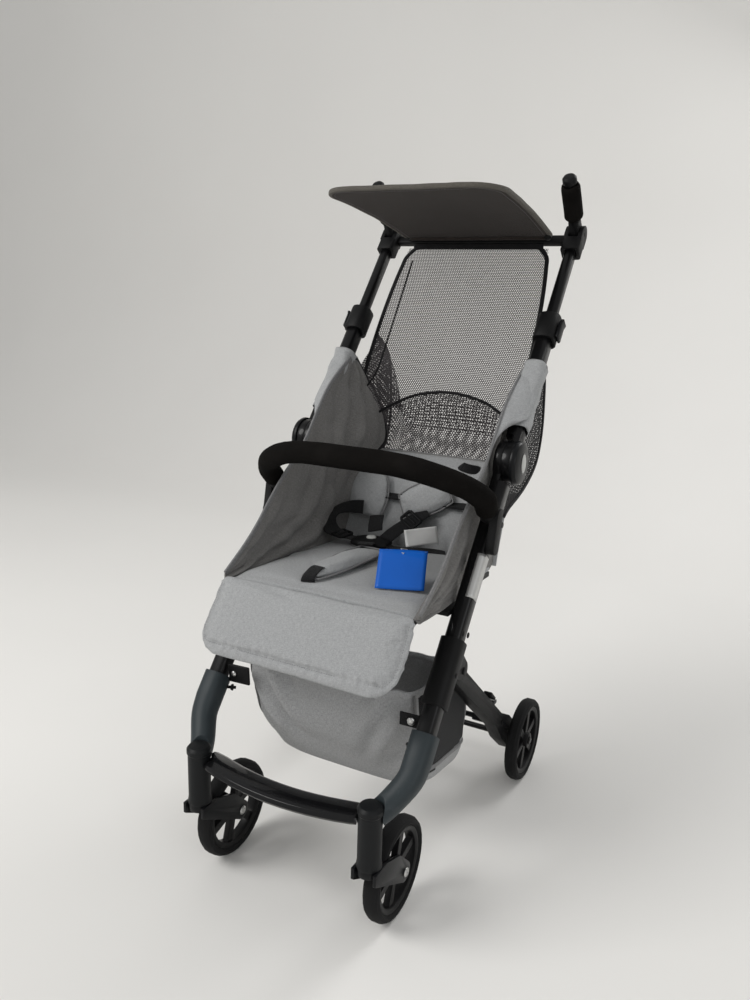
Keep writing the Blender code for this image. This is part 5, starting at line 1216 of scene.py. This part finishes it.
def flap_rows(side, lines=60):
    """The cloth between the sleeve's outer side and the panel's front edge."""
    inner = spread(panel_front[:46], lines)
    outer = spread(through([rail(side, *p) for p in FLAP_OUTER], 10), lines)
    rows = []
    for t, near, far in zip(evenly(0, 1, lines), outer, inner):
        far = Vector((side * (far.x + 0.0008), far.y, far.z))
        row = []
        for s in evenly(0, 1, 16):
            round_out = 0.0050 * math.sin(math.pi * s) ** 0.8 * (1 - 0.6 * t)
            fold = 0.0010 * math.sin(14 * t + 5 * s) * math.sin(math.pi * s)
            sideways = Vector((side * (0.4 * round_out + fold), 0, 0))
            row.append(near.lerp(far, s) + AHEAD * (round_out + fold) + sideways)
        rows.append(row)
    return rows


def sleeve_rows(side):
    """Cloth wrapped round the rail: a rounded rectangle round the tube, with slow wrinkles."""
    rows = []
    for t in evenly(0, 1, 34):
        along = SLEEVE_LOW + (SLEEVE_HIGH - SLEEVE_LOW) * t
        row = []
        for turn in round_turn(36):
            slack = 0.0007 * math.sin(3 * turn + 17 * t)
            slack += 0.0009 * noise.noise(Vector((turn, 9 * t, side * 5.0)))
            wide = 1 + slack / 0.016 + 0.05 * math.exp(-((t - 1.0) / 0.05) ** 2)
            out, on = blunt(math.cos(turn), 0.62) * SLEEVE_WIDE, blunt(math.sin(turn), 0.62) * SLEEVE_DEEP
            row.append(rail(side, along, on * wide, out * wide))
        rows.append(row)
    return rows


# %% Side panels, flaps and sleeves
FOLD_LOW, FOLD_HIGH = -0.075, 0.020
# Width, thickness and finish
FRONT_BINDING, REAR_BINDING = (0.0075, 0.0036, "grey_binding"), (0.0095, 0.0046, "black_cloth")
SLEEVE_HEM = (0.0016, 0.0042, "grey_binding")
for name, side in SIDES.items():
    rows = panel_rows(side)
    panel = grid_piece("side_panel_" + name, rows, "side_cloth", 0.0022)
    front_edge, rear_edge = [row[0] for row in rows], [row[-1] for row in rows]
    front_half, rear_half = spread(front_edge[2:], 120), spread(rear_edge[:54], 70)
    bindings = [
        ribbon("panel_front_edge_" + name, front_half, (1, 0, 0), *FRONT_BINDING),
        ribbon("panel_rear_edge_" + name, rear_half, (1, 0, 0), *REAR_BINDING),
    ]
    flat = (max(length_of(row) for row in rows), length_of(front_edge))
    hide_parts("side_wing_" + name)
    for piece in (panel, *bindings):
        rail(side, FOLD_LOW)
        rail(side, FOLD_HIGH)
        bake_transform(piece)
    flap_grid = flap_rows(side)
    flap = grid_piece("sleeve_flap_" + name, flap_grid, "pale_cloth", 0.0018)
    flap_flat = (0.040, length_of([row[0] for row in flap_grid]))
    "rail_" + name
    wrap = sleeve_rows(side)
    sleeve = grid_piece("rail_sleeve_" + name, wrap, "pale_cloth", 0.0016, closed=True)
    sleeve_flat = (length_of([*wrap[0], wrap[0][0]]), SLEEVE_HIGH - SLEEVE_LOW)
    "rail_" + name
    hem_line = []
    for turn in evenly(0, math.tau, 40)[:-1]:
        on, out = SLEEVE_DEEP * 1.04 * math.sin(turn), SLEEVE_WIDE * 1.04 * math.cos(turn)
        hem_line.append(rail(side, 0.1655, on, out))
    hem = ribbon("sleeve_hem_" + name, hem_line, UP_RAIL, *SLEEVE_HEM, ring=True)
    ride_on("upper_frame", flap, sleeve, hem)
    print(name, "side panel", round(area_of(panel), 4), "m2")

# %% [markdown]
# ## Canopy
# The canopy is a thin padded panel with a slight arch, dark cloth below and grey cloth above, and it turns
# on a rod at its rear. Each cloth is one sheet: a row of stations from the rod to the front edge, whose
# corners are round. A paler binding wraps the edge, with a line of stitches a little inside it.


# %% Shape of the canopy
CANOPY_RISE = math.radians(9.0)
CANOPY_CORNER = 0.045
HINGE = Vector(joints["canopy_swing"]["pos_m"])
canopy_low, canopy_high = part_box("canopy")
CANOPY_RUN = Vector((0, -math.cos(CANOPY_RISE), math.sin(CANOPY_RISE)))
CANOPY_LIFT = Vector((0, math.sin(CANOPY_RISE), math.cos(CANOPY_RISE)))
CANOPY_START = (HINGE.y - canopy_high.y) + 0.0005
CANOPY_REACH = (HINGE.y - canopy_low.y) / math.cos(CANOPY_RISE)
CANOPY_HALF = canopy_high.x
CANOPY_BACK_HALF = CANOPY_HALF - 0.009


def canopy_share(reach):
    return (reach - CANOPY_START) / (CANOPY_REACH - CANOPY_START)


def canopy_half(reach):
    """Half the panel's width this far from its hinge."""
    half = CANOPY_BACK_HALF + (CANOPY_HALF - CANOPY_BACK_HALF) * canopy_share(reach)
    into = max(0.0, reach - (CANOPY_REACH - CANOPY_CORNER))
    return half - CANOPY_CORNER + math.sqrt(max(0.0, CANOPY_CORNER**2 - into**2))


def canopy_point(across, reach, lift=0.0):
    share = canopy_share(reach)
    arch = 0.006 * math.sin(math.pi * min(1, share))
    arch += 0.0035 * (1 - across * across) * math.sin(math.pi * share)
    slack = 0.0008 * noise.noise(Vector((across * 3, reach * 22, 4.0)))
    place = HINGE + CANOPY_RUN * reach + CANOPY_LIFT * (arch + slack + lift)
    return place + Vector((across * canopy_half(reach), 0, 0))


# %% Canopy
reaches = evenly(CANOPY_START, CANOPY_REACH - CANOPY_CORNER, 22)
reaches += [CANOPY_REACH - CANOPY_CORNER * (1 - math.sin(math.radians(a))) for a in range(6, 91, 6)]
canopy_sheets = []
for name, finish, lift in (("underside", "canopy_cloth", -0.0022), ("topside", "canopy_top_cloth", 0.0022)):
    rows = [[canopy_point(a, r, lift) for a in evenly(-0.985, 0.985, 31)] for r in reaches]
    canopy_sheets.append(grid_piece("canopy_" + name, rows, finish, 0.0024))
left_side, right_side = ([canopy_point(a, r) for r in reaches] for a in (-1, 1))
front_edge = [canopy_point(a, CANOPY_REACH) for a in evenly(-0.9, 0.9, 24)]
rim = spread([*left_side, *front_edge, *right_side[::-1]], 220)
EDGE_ROUND, ROD_ROUND, STITCH_IN = 0.0070, 0.0132, -0.0037
binding = ribbon("canopy_binding", rim, CANOPY_LIFT, EDGE_ROUND, EDGE_ROUND, "binding", 14)
inner = [canopy_point(-0.945, r, STITCH_IN) for r in reaches[:-3]]
inner += [canopy_point(a, CANOPY_REACH - 0.0085, STITCH_IN) for a in evenly(-0.72, 0.72, 20)]
inner += [canopy_point(0.945, r, STITCH_IN) for r in reaches[:-3][::-1]]
thread = stitches("canopy_stitches", spread(inner, 240), CANOPY_LIFT, 0.0048, 0.0024, 0.0004)
rod_line = [HINGE + Vector((x, 0, 0)) for x in evenly(-0.122, 0.122, 40)]
rod_wrap = ribbon("canopy_rod_wrap", rod_line, (0, 0, 1), ROD_ROUND, ROD_ROUND, "canopy_cloth", 16)
underside, topside = canopy_sheets
flat = (2 * CANOPY_HALF, CANOPY_REACH - CANOPY_START)
ride_on("canopy", underside, topside, binding, thread, rod_wrap)
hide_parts("canopy")
print("canopy", [round(v, 3) for v in flat], "m")

# %% [markdown]
# ## Basket
# The basket is a cloth bag. Its rows are rings that start at its floor, which sags, turn up round soft
# corners and end at its rim. Each ring has the outline of a rounded rectangle at one height, narrower at
# the floor, and the front leans back. A second piece closes the floor's middle. Folds run down from the
# points that hold the bag. The front and floor are grey, the two sides are black and end in a grey trim.

# %% Shape of the basket
BAG_HALF = 0.1452
# Each ring from the floor's middle to the rim: share of the half width, front, rear, height
BAG_RINGS = [(0.0, -0.060, -0.060, 0.1340), (0.45, -0.096, -0.015, 0.1340), (0.72, -0.122, 0.018, 0.1345)]
BAG_RINGS += [(0.84, -0.136, 0.030, 0.1370), (0.90, -0.146, 0.035, 0.1450), (0.94, -0.155, 0.037, 0.1600)]
BAG_RINGS += [(0.965, -0.165, 0.037, 0.1820), (0.98, -0.176, 0.036, 0.2100), (0.99, -0.186, 0.033, 0.2400)]
BAG_RINGS += [(0.995, -0.193, 0.030, 0.2700), (0.985, -0.196, 0.026, 0.3010)]
bag_profile = []
for here, there in zip(BAG_RINGS, BAG_RINGS[1:]):
    bag_profile += [[p + (q - p) * t for p, q in zip(here, there)] for t in evenly(0, 1, 6)[:-1]]
bag_profile.append(list(BAG_RINGS[-1]))
RIM, TRIM_FOOT = len(bag_profile) - 1, 27


def bag_fold(a, height):
    """Folds that run down from the two points that hold the bag, the left ones deeper."""
    up = height - 0.14
    left = math.sin(24 * (0.75 * a + 3.3 * up)) * math.exp(-((a + 0.55) / 0.55) ** 2)
    right = math.sin(26 * (0.8 * a - 3.0 * up) + 1.0) * math.exp(-((a - 0.70) / 0.40) ** 2)
    return 0.0080 * left + 0.0062 * right


def bag_point(ring, turn):
    """A point on the bag: which ring, and which way round from the right side."""
    share, front, rear, height = bag_profile[ring]
    a, b = blunt(math.cos(turn), 0.45), blunt(math.sin(turn), 0.45)
    up = max(0.0, (height - 0.140) / 0.156)
    y = (front + rear) / 2 - b * (rear - front) / 2
    low = max(0.0, 1 - 1.15 * up) ** 1.5
    place = Vector((a * BAG_HALF * share * (1 + (0.045 if a > 0 else -0.075) * low), y, height))
    if b < 0:
        place.z -= 0.034 * up * -b
    place.z -= 0.026 * max(0, 1 - 1.3 * up) * min(1, max(0, (y + 0.140) / 0.170))
    place.z -= 0.005 * up**2 * (1 - a * a) * abs(b)
    outward = Vector((a if abs(a) > 0.97 else a * 0.3, -b, -0.2)).normalized()
    lump = noise.noise(place * 21) + 0.5 * noise.noise(place * 52)
    fold = bag_fold(a, height) * min(1, 2 * up) * b**2 + 0.0036 * lump
    fold += 0.006 * math.sin(math.pi * min(1, up))
    return place + outward * (fold * min(1, 0.15 + 2 * up) * (1 - 0.8 * a**8) - 0.0035)


# %% Basket bag
turns = round_turn(144)
bag_rows = [[bag_point(ring, turn) for turn in turns] for ring in range(1, RIM + 1)]
bag = grid_piece("basket_bag", bag_rows, "basket_cloth", 0.0022, closed=True)
bag.data.materials.append(finishes["black_cloth"])
for face in bag.data.polygons:
    x, y, z = face.center
    face.material_index = int(abs(x) > 0.925 * BAG_HALF and z > 0.158 and y > -0.166)
floor_rows = [[bag_point(1, t).lerp(bag_point(0, t), s) for t in turns] for s in evenly(0, 0.96, 6)]
bag_floor = grid_piece("basket_floor", floor_rows, "basket_cloth", 0.0022, closed=True)
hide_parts("basket")
rim_line = [bag_point(RIM, turn) for turn in turns]
rim_band = ribbon("basket_rim", rim_line, (0, 0, 1), 0.0046, 0.0095, "basket_cloth", ring=True)
ride_on("frame", bag, bag_floor, rim_band)


def trim_point(ring, turn, side):
    return bag_point(ring, turn if side > 0 else math.pi - turn) + Vector((side * 0.0016, 0, 0))


for name, side in SIDES.items():
    trim_line = [trim_point(ring, 0.62, side) for ring in range(RIM, TRIM_FOOT, -1)]
    trim_line += [trim_point(TRIM_FOOT, turn, side) for turn in evenly(0.62, -0.62, 30)]
    trim_line += [trim_point(ring, -0.62, side) for ring in range(TRIM_FOOT + 1, RIM + 1)]
    trim_line = spread(trim_line, 120)
    trim = ribbon("basket_trim_" + name, trim_line, (side, 0, -0.2), 0.0075, 0.0028, "grey_binding")
    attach(trim, "frame")

# %% [markdown]
# ## Harness
# The harness is flat webbing, a soft pad on each shoulder strap and on the strap between the legs, and one
# buckle. In the photograph it lies where it was dropped: one strap loops up at the left, one runs to the
# upper right through a slider, and a short one lies to the right with a care label on it. Each strap is a
# ribbon through a few points over the seat. The left one turns over as it goes, so it says at each point
# which way its broad side looks.

# %% Straps
WEB_WIDE, WEB_THICK = 0.024, 0.0018
buckle_low, buckle_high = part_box("buckle")
BUCKLE = (buckle_low + buckle_high) / 2
OVER_SEAT = Vector((0, 0, 0.0022))


def strap(name, line, facing, wide=WEB_WIDE):
    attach(ribbon(name, line, facing, wide, WEB_THICK, "strap"), "frame")


def by_buckle(x, y, z):
    return BUCKLE + Vector((x, y, z))


left_knots = [by_buckle(-0.022, 0, 0.001), (-0.095, 0.026, 0.436), (-0.118, 0.030, 0.440)]
left_knots += [(-0.132, 0.044, 0.450), (-0.130, 0.062, 0.463), (-0.112, 0.076, 0.470), (-0.092, 0.086, 0.470)]
left_facing = []
for t in evenly(0, 1, 70):
    left_facing.append(Vector((-0.2 * math.sin(math.pi * t), -0.75 * t, 1 - 0.55 * t)).normalized())
strap("left_strap", spread(through(left_knots, 10), 70), left_facing)
WAIST_PLACES = [(-0.004, 0.042), (0.018, 0.056), (0.040, 0.072), (0.060, 0.082)]
right_knots = [by_buckle(0.016, 0.010, 0.002), (-0.020, 0.066, 0.446), (0, 0.088, 0.462)]
right_knots += [(0.018, 0.100, 0.476)]
waist_knots = [by_buckle(0.024, -0.002, 0), *(on_top(x, y, seat) + OVER_SEAT for x, y in WAIST_PLACES)]
crotch_knots = [(-0.036, -0.010, 0.4385), (-0.040, 0.006, 0.4375), (-0.045, BUCKLE.y - 0.016, BUCKLE.z)]
end_knots = [(-0.0295, -0.152, 0.4445), (-0.0300, -0.160, 0.4440), (-0.0310, -0.170, 0.4400)]
end_knots += [(-0.0312, -0.178, 0.4350), (-0.0308, -0.1795, 0.4300)]
shoulder_knots = [(-0.062, 0.078, 0.462), (-0.056, 0.062, 0.452), (-0.050, 0.050, 0.444)]
for name, knots, facing, wide in (
    ("right_strap", right_knots, (0.1, -0.55, 0.83), WEB_WIDE),
    ("waist_strap", waist_knots, (0, 0, 1), WEB_WIDE),
    ("crotch_strap", crotch_knots, (0, 0, 1), WEB_WIDE),
    ("crotch_strap_end", end_knots, (0, -0.2, 1), 0.020),
    ("shoulder_strap", shoulder_knots, (0, -0.5, 0.86), WEB_WIDE),
):
    strap(name, spread(through(knots, 10), len(knots) * 10), facing, wide)
print("straps done")

# %% Sliders
FRAME_BAND, BAR_BAND = 0.0050, 0.0045


def slider(name, place, run, up, wide=0.031, long=0.020, thick=0.0042):
    """A slider that the webbing runs through: a rounded frame with a bar."""
    run, up = Vector(run).normalized(), Vector(up).normalized()
    across = square_up(run, up)[0]
    corners = [(wide / 2, long / 2), (-wide / 2, long / 2), (-wide / 2, -long / 2), (wide / 2, -long / 2)]
    line = []
    for (a, b), (c, d) in zip(corners, [*corners[1:], corners[0]]):
        for t in (0.08, 0.35, 0.65, 0.92):
            line.append(place + across * (a + (c - a) * t) + run * (b + (d - b) * t))
    around = ribbon(name, line, up, FRAME_BAND, thick, "black_plastic", ring=True)
    bar_line = [place + across * x for x in evenly(-wide / 2, wide / 2, 6)]
    ride_on("frame", around, ribbon(name + "_bar", bar_line, up, BAR_BAND, thick, "black_plastic"))


slider("right_slider", Vector((-0.004, 0.085, 0.4615)), (0.52, 0.62, 0.58), (0.1, -0.55, 0.83))
slider("left_slider", Vector((-0.098, 0.027, 0.4375)), (-1, 0.12, 0.14), (0, 0, 1))


# %% Care label
def card(name, corners, finish, thick, curl):
    """A flat label: four corners, with a slow curl."""
    a, b, c, d = corners
    up = (b - a).cross(d - a).normalized()
    if up.z < 0:
        up = -up
    rows = []
    for t in evenly(0, 1, 12):
        start, end = a.lerp(d, t), b.lerp(c, t)
        rise = up * curl * math.cos(2.2 * t)
        rows.append([start.lerp(end, s) + rise * math.sin(math.pi * s) for s in evenly(0, 1, 12)])
    flat = (length_of(rows[0]), length_of([row[0] for row in rows]))
    return grid_piece(name, rows, finish, thick), flat


LABEL = [(0.0135, 0.0340, 0.4320), (0.0480, 0.0830, 0.4320)]
LABEL += [(0.0410, 0.0880, 0.4575), (0.0065, 0.0390, 0.4570)]
label, flat = card("care_label", [Vector(p) for p in LABEL], "white_card", 0.0003, 0.003)
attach(label, "frame")
print("label", [round(v, 3) for v in flat], "m")

# %% [markdown]
# The blue tag is a stiff card on a thin white string. The string loops through the waist strap, goes
# through the tag's hole and ends down the card's back, and the card leans on the seat.

# %% Hang tag
TAG = [(0.0440, -0.1143, 0.4728), (0.1057, -0.0891, 0.4733)]
TAG += [(0.1205, -0.1295, 0.4315), (0.0593, -0.1551, 0.4315)]
tag_corners = [Vector(p) for p in TAG]
tag, flat = card("hang_tag", tag_corners, "blue_card", 0.0006, 0.0015)
a, b, c, d = tag_corners
tag_hole = a.lerp(b, 0.5).lerp(d.lerp(c, 0.5), 0.07) + Vector((0, -0.0010, 0.0008))
card_down = (d - a).normalized()
card_back = card_down.cross(b - a).normalized()
if card_back.z > 0:
    card_back = -card_back
EXIT = Vector((0.0120, 0.0440, 0.4230))
string_knots = [EXIT, (0.022, 0.020, 0.4330), (0.038, -0.030, 0.4500), (0.058, -0.075, 0.4650), tag_hole]
string_knots += [tag_hole + card_down * 0.004 + card_back * 0.0030]
string_knots += [tag_hole + card_down * 0.015 + card_back * 0.0032]
string_line = spread(through(string_knots, 10), 60)
STRING_THICK = 0.0010
long = length_of(string_line)
tag_string = string("tag_string", string_line, STRING_THICK / 2, "white_card", 6)
eye_line = [tag_hole + 0.0022 * Vector((math.cos(turn), math.sin(turn), 0)) for turn in round_turn(16)]
tag_eye = ribbon("tag_eye", eye_line, (0, 0, 1), 0.0008, 0.0008, "steel", 6, ring=True)
ride_on("frame", tag, tag_string, tag_eye)
print("harness and tag done; string", round(long, 3), "m")

# %% [markdown]
# ## Small parts
# What remains is small: the oval caps on the hubs, a plate of silver film on the right leg, the basket's
# tethers, bracket and press stud, the webbing loops that the shoulder straps pass through, the tabs on the
# legs, the rivets, and the canopy's clip and tab. A small body of revolution is drawn by `turned_part`, a
# rivet's head or a cap by `dome`, and a small block by `block`.


# %% Words for small parts
def turned_part(name, place, axis, profile, finish, body, squash=(1, 1), sides=28):
    """A body of revolution: profile gives its radius and height from its foot up, along the axis."""
    place, axis = Vector(place), Vector(axis).normalized()
    first = axis.orthogonal().normalized() if abs(axis.x) < 0.9 else Vector((0, 1, 0))
    second = axis.cross(first).normalized()
    first = second.cross(axis).normalized()
    points = []
    for radius, height in profile:
        for turn in round_turn(sides):
            side_way = first * math.cos(turn) * squash[0] + second * math.sin(turn) * squash[1]
            points.append(place + axis * height + side_way * radius)
    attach(new_piece(name, points, tube_faces(len(profile), sides), finish), body)


DOME = [(1.0, 0.0), (1.0, 0.30), (0.93, 0.55), (0.75, 0.80), (0.45, 0.95), (0.10, 1.0)]
POST = [(0.0022, -0.004), (0.0022, 0.010), (0.0040, 0.0102), (0.0044, 0.0125), (0.0030, 0.0145)]


def dome(name, place, axis, radius, high, finish, body, squash=(1, 1)):
    turned_part(name, place, axis, [(r * radius, h * high) for r, h in DOME], finish, body, squash)


def block(name, place, run, up, size, finish, body, radius=0.0008):
    """A small block with rounded edges: size is its length, width and thickness."""
    run, up = Vector(run).normalized(), Vector(up).normalized()
    across, up = square_up(run, up)
    points = []
    for a in (-0.5, 0.5):
        for b in (-0.5, 0.5):
            for c in (-0.5, 0.5):
                points.append(Vector(place) + run * a * size[0] + across * b * size[1] + up * c * size[2])
    faces = [(0, 1, 3, 2), (4, 6, 7, 5), (0, 4, 5, 1), (2, 3, 7, 6), (0, 2, 6, 4), (1, 5, 7, 3)]
    piece = new_piece(name, points, faces, finish)
    bevel = piece.modifiers.new("edge", "BEVEL")
    bevel.width = radius
    bevel.segments = 3
    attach(piece, body)


# %% [markdown]
# The hub cap is an oval of bright plastic set into the hub's face. The film on the leg is a plain silver
# plate that follows the tube round from its outside to its front.

# %% Hub caps and film
for name, side in SIDES.items():
    cover_low, cover_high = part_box("hub_cover_" + name)
    face_x = cover_high.x if side > 0 else cover_low.x
    ring_place, cap_place = ((face_x - side * sunk, HUB.y, HUB.z) for sunk in (0.0006, 0.0002))
    way = (side, 0, 0)
    dome("hub_ring_" + name, ring_place, way, 0.0165, 0.0016, "gloss_plastic", "upper_frame", (0.72, 1))
    dome("hub_cap_" + name, cap_place, way, 0.0135, 0.0026, "pale_plastic", "upper_frame", (0.66, 1))
FILM_LOW, FILM_HIGH = -0.214, -0.150
FILM_START, FILM_END = -0.10, 1.55
FILM_OUT, FILM_AHEAD = Vector((0.0125, 0, 0)), AHEAD * 0.0135
film_rows = []
for along in evenly(FILM_LOW, FILM_HIGH, 16):
    turns = evenly(FILM_START, FILM_END, 12)
    ways = [blunt(math.cos(t), 0.51) * FILM_OUT + blunt(math.sin(t), 0.51) * FILM_AHEAD for t in turns]
    film_rows.append([rail(1, along) + way for way in ways])
film = grid_piece("film_on_leg", film_rows, "silver_film", 0.0004)
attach(film, "frame")

# %% Tethers, press stud, loops, tabs and rivets
for side, z in ((1, 0.247), (-1, 0.254)):
    post, way = (side * 0.142, -0.203, z), (side, -0.4, 0)
    dome(f"tether_foot_{side + 1}", post, way, 0.0048, 0.0040, "black_plastic", "frame")
    turned_part(f"tether_post_{side + 1}", post, way, POST, "black_plastic", "frame")
dome("press_stud", (0.143, -0.2022, 0.281), (0.1, -1, 0), 0.0056, 0.0030, "steel", "frame")
patch, size = (0.144, -0.2000, 0.281), (0.036, 0.019, 0.0018)
block("stud_patch", patch, (1, 0.05, 0), (0.05, -1, 0), size, "strap", "frame")
bracket, size = (-0.132, -0.2010, 0.276), (0.036, 0.027, 0.0040)
block("left_bracket", bracket, (1, 0, 0.05), (0, -1, 0), size, "black_plastic", "frame", 0.0016)
dome("left_bracket_rivet", (-0.140, -0.2030, 0.276), (0, -1, 0), 0.0042, 0.0026, "steel", "frame")
LOOP = [(-0.019, -0.004), (-0.014, 0.004), (0, 0.008), (0.014, 0.004), (0.019, -0.004)]
for k, x in enumerate((-0.064, 0.064)):
    centre = back_point(x / 0.139, reach_at(0.543)) + Vector((0, -0.004, 0))
    loop = spread(through([centre + Vector((dx, -dy, -0.1 * dx)) for dx, dy in LOOP], 6), 30)
    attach(ribbon(f"strap_loop_{k}", loop, (0, -0.9, 0.45), 0.0150, 0.0020, "strap"), "upper_frame")
for name, side in SIDES.items():
    tab, size = (side * 0.1572, 0.060, 0.206), (0.026, 0.014, 0.0050)
    way, up = (0, 0.75, -0.66), (0, 0.66, 0.75)
    block("leg_tab_" + name, tab, way, up, size, "black_plastic", "rear_legs", 0.0018)
    for k, along in enumerate((-0.262, -0.318)):
        rivet = rail(side, along, 0, 0.0162)
        dome(f"sleeve_rivet_{name}_{k}", rivet, (side, 0, 0), 0.0040, 0.0016, "black_plastic", "frame")
clip = HINGE + Vector((0.1270, -0.010, -0.002))
dome("canopy_clip_base", clip, (0, -0.6, -0.8), 0.0060, 0.0050, "black_plastic", "canopy")
top_tab, size = canopy_point(-0.62, CANOPY_REACH * 0.80, 0.0052), (0.018, 0.016, 0.0060)
block("canopy_top_tab", top_tab, (1, 0, 0), CANOPY_LIFT, size, "black_plastic", "canopy", 0.0020)
print("small parts done")

# %% [markdown]
# ## Foam on the bumper and the grips
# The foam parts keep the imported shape, with a finer mesh: an even remesh, one subdivision, and a very slow
# unevenness, because a foam sleeve pulled over a bent tube is never quite even.

# %% Foam sleeves
FOAM_ON = {"bumper_bar": "bumper", "grip_foam_left": "grip_left", "grip_foam_right": "grip_right"}
for node, body in FOAM_ON.items():
    sleeve = stuffed(node, "foam", 0.0045, 0.0003, 0.0006, 1.0)
    rumple(sleeve, 0.0005, 0.028, len(node))
    finer(sleeve)
    finish_pad(sleeve, node, body)
print("foam sleeves done")

# %% [markdown]
# ## The room
# A plain pale floor runs up into a plain pale wall in one curve, so there is no line behind the stroller.
# Its outline is drawn once, seen from the side, and stretched to both sides.

# %% Floor and wall
ROOM_AHEAD, ROOM_BEHIND, ROOM_HALF, WALL_HIGH, BEND = 6.0, 2.6, 6.0, 5.0, 1.2
profile = [(-ROOM_AHEAD, 0.0), (ROOM_BEHIND - BEND, 0.0)]
for turn in evenly(0, math.pi / 2, 13)[1:]:
    profile.append((ROOM_BEHIND - BEND + BEND * math.sin(turn), BEND - BEND * math.cos(turn)))
profile.append((ROOM_BEHIND, WALL_HIGH))
paint = Finish("room_paint", roughness=0.9)
slow = paint.cloud(paint.where(), 1.5, 2.0)
paint.put("Base Color", paint.blend(slow, (0.78, 0.77, 0.75), (0.82, 0.81, 0.79)))
finishes["room_paint"] = paint.material
points = [(x, y, z) for y, z in profile for x in (-ROOM_HALF, ROOM_HALF)]
faces = [(k, k + 1, k + 3, k + 2) for k in range(0, len(points) - 2, 2)]
new_piece("floor_and_wall", points, faces, "room_paint")
print("floor and wall:", len(faces), "faces")

# %% [markdown]
# The world is pale too and fills in the shade. One large soft lamp stands high on the left, where most of
# the light in the photograph comes from, a weaker one fills from the right, and a third behind draws the
# black tubes' edges. The background's brightness comes from its colour, not from more light.


# %% Lamps
def lamp(name, place, size, power, colour):
    """A round soft lamp that looks at the stroller's middle."""
    light = bpy.data.lights.new(name, "AREA")
    light.shape = "DISK"
    light.size = size
    light.energy = power
    light.color = colour
    holder = bpy.data.objects.new(name, light)
    holder.location = place
    holder.rotation_euler = (Vector((0, 0, 0.5)) - Vector(place)).to_track_quat("-Z", "Y").to_euler()
    bpy.context.scene.collection.objects.link(holder)


lamp("window_lamp", (-1.6, -1.9, 2.3), 1.7, 54, (1.0, 0.99, 0.97))
lamp("fill_lamp", (2.2, -1.6, 1.3), 1.8, 11, (0.98, 0.99, 1.0))
lamp("rear_lamp", (0.9, 1.9, 2.2), 1.2, 20, (1.0, 1.0, 1.0))
world = bpy.data.worlds.new("soft_room")
world.use_nodes = True
background = world.node_tree.nodes["Background"]
background.inputs["Color"].default_value = (0.86, 0.86, 0.85, 1)
background.inputs["Strength"].default_value = 0.55
bpy.context.scene.world = world
bpy.context.scene.view_settings.view_transform = "Standard"
print("three lamps and a pale world")
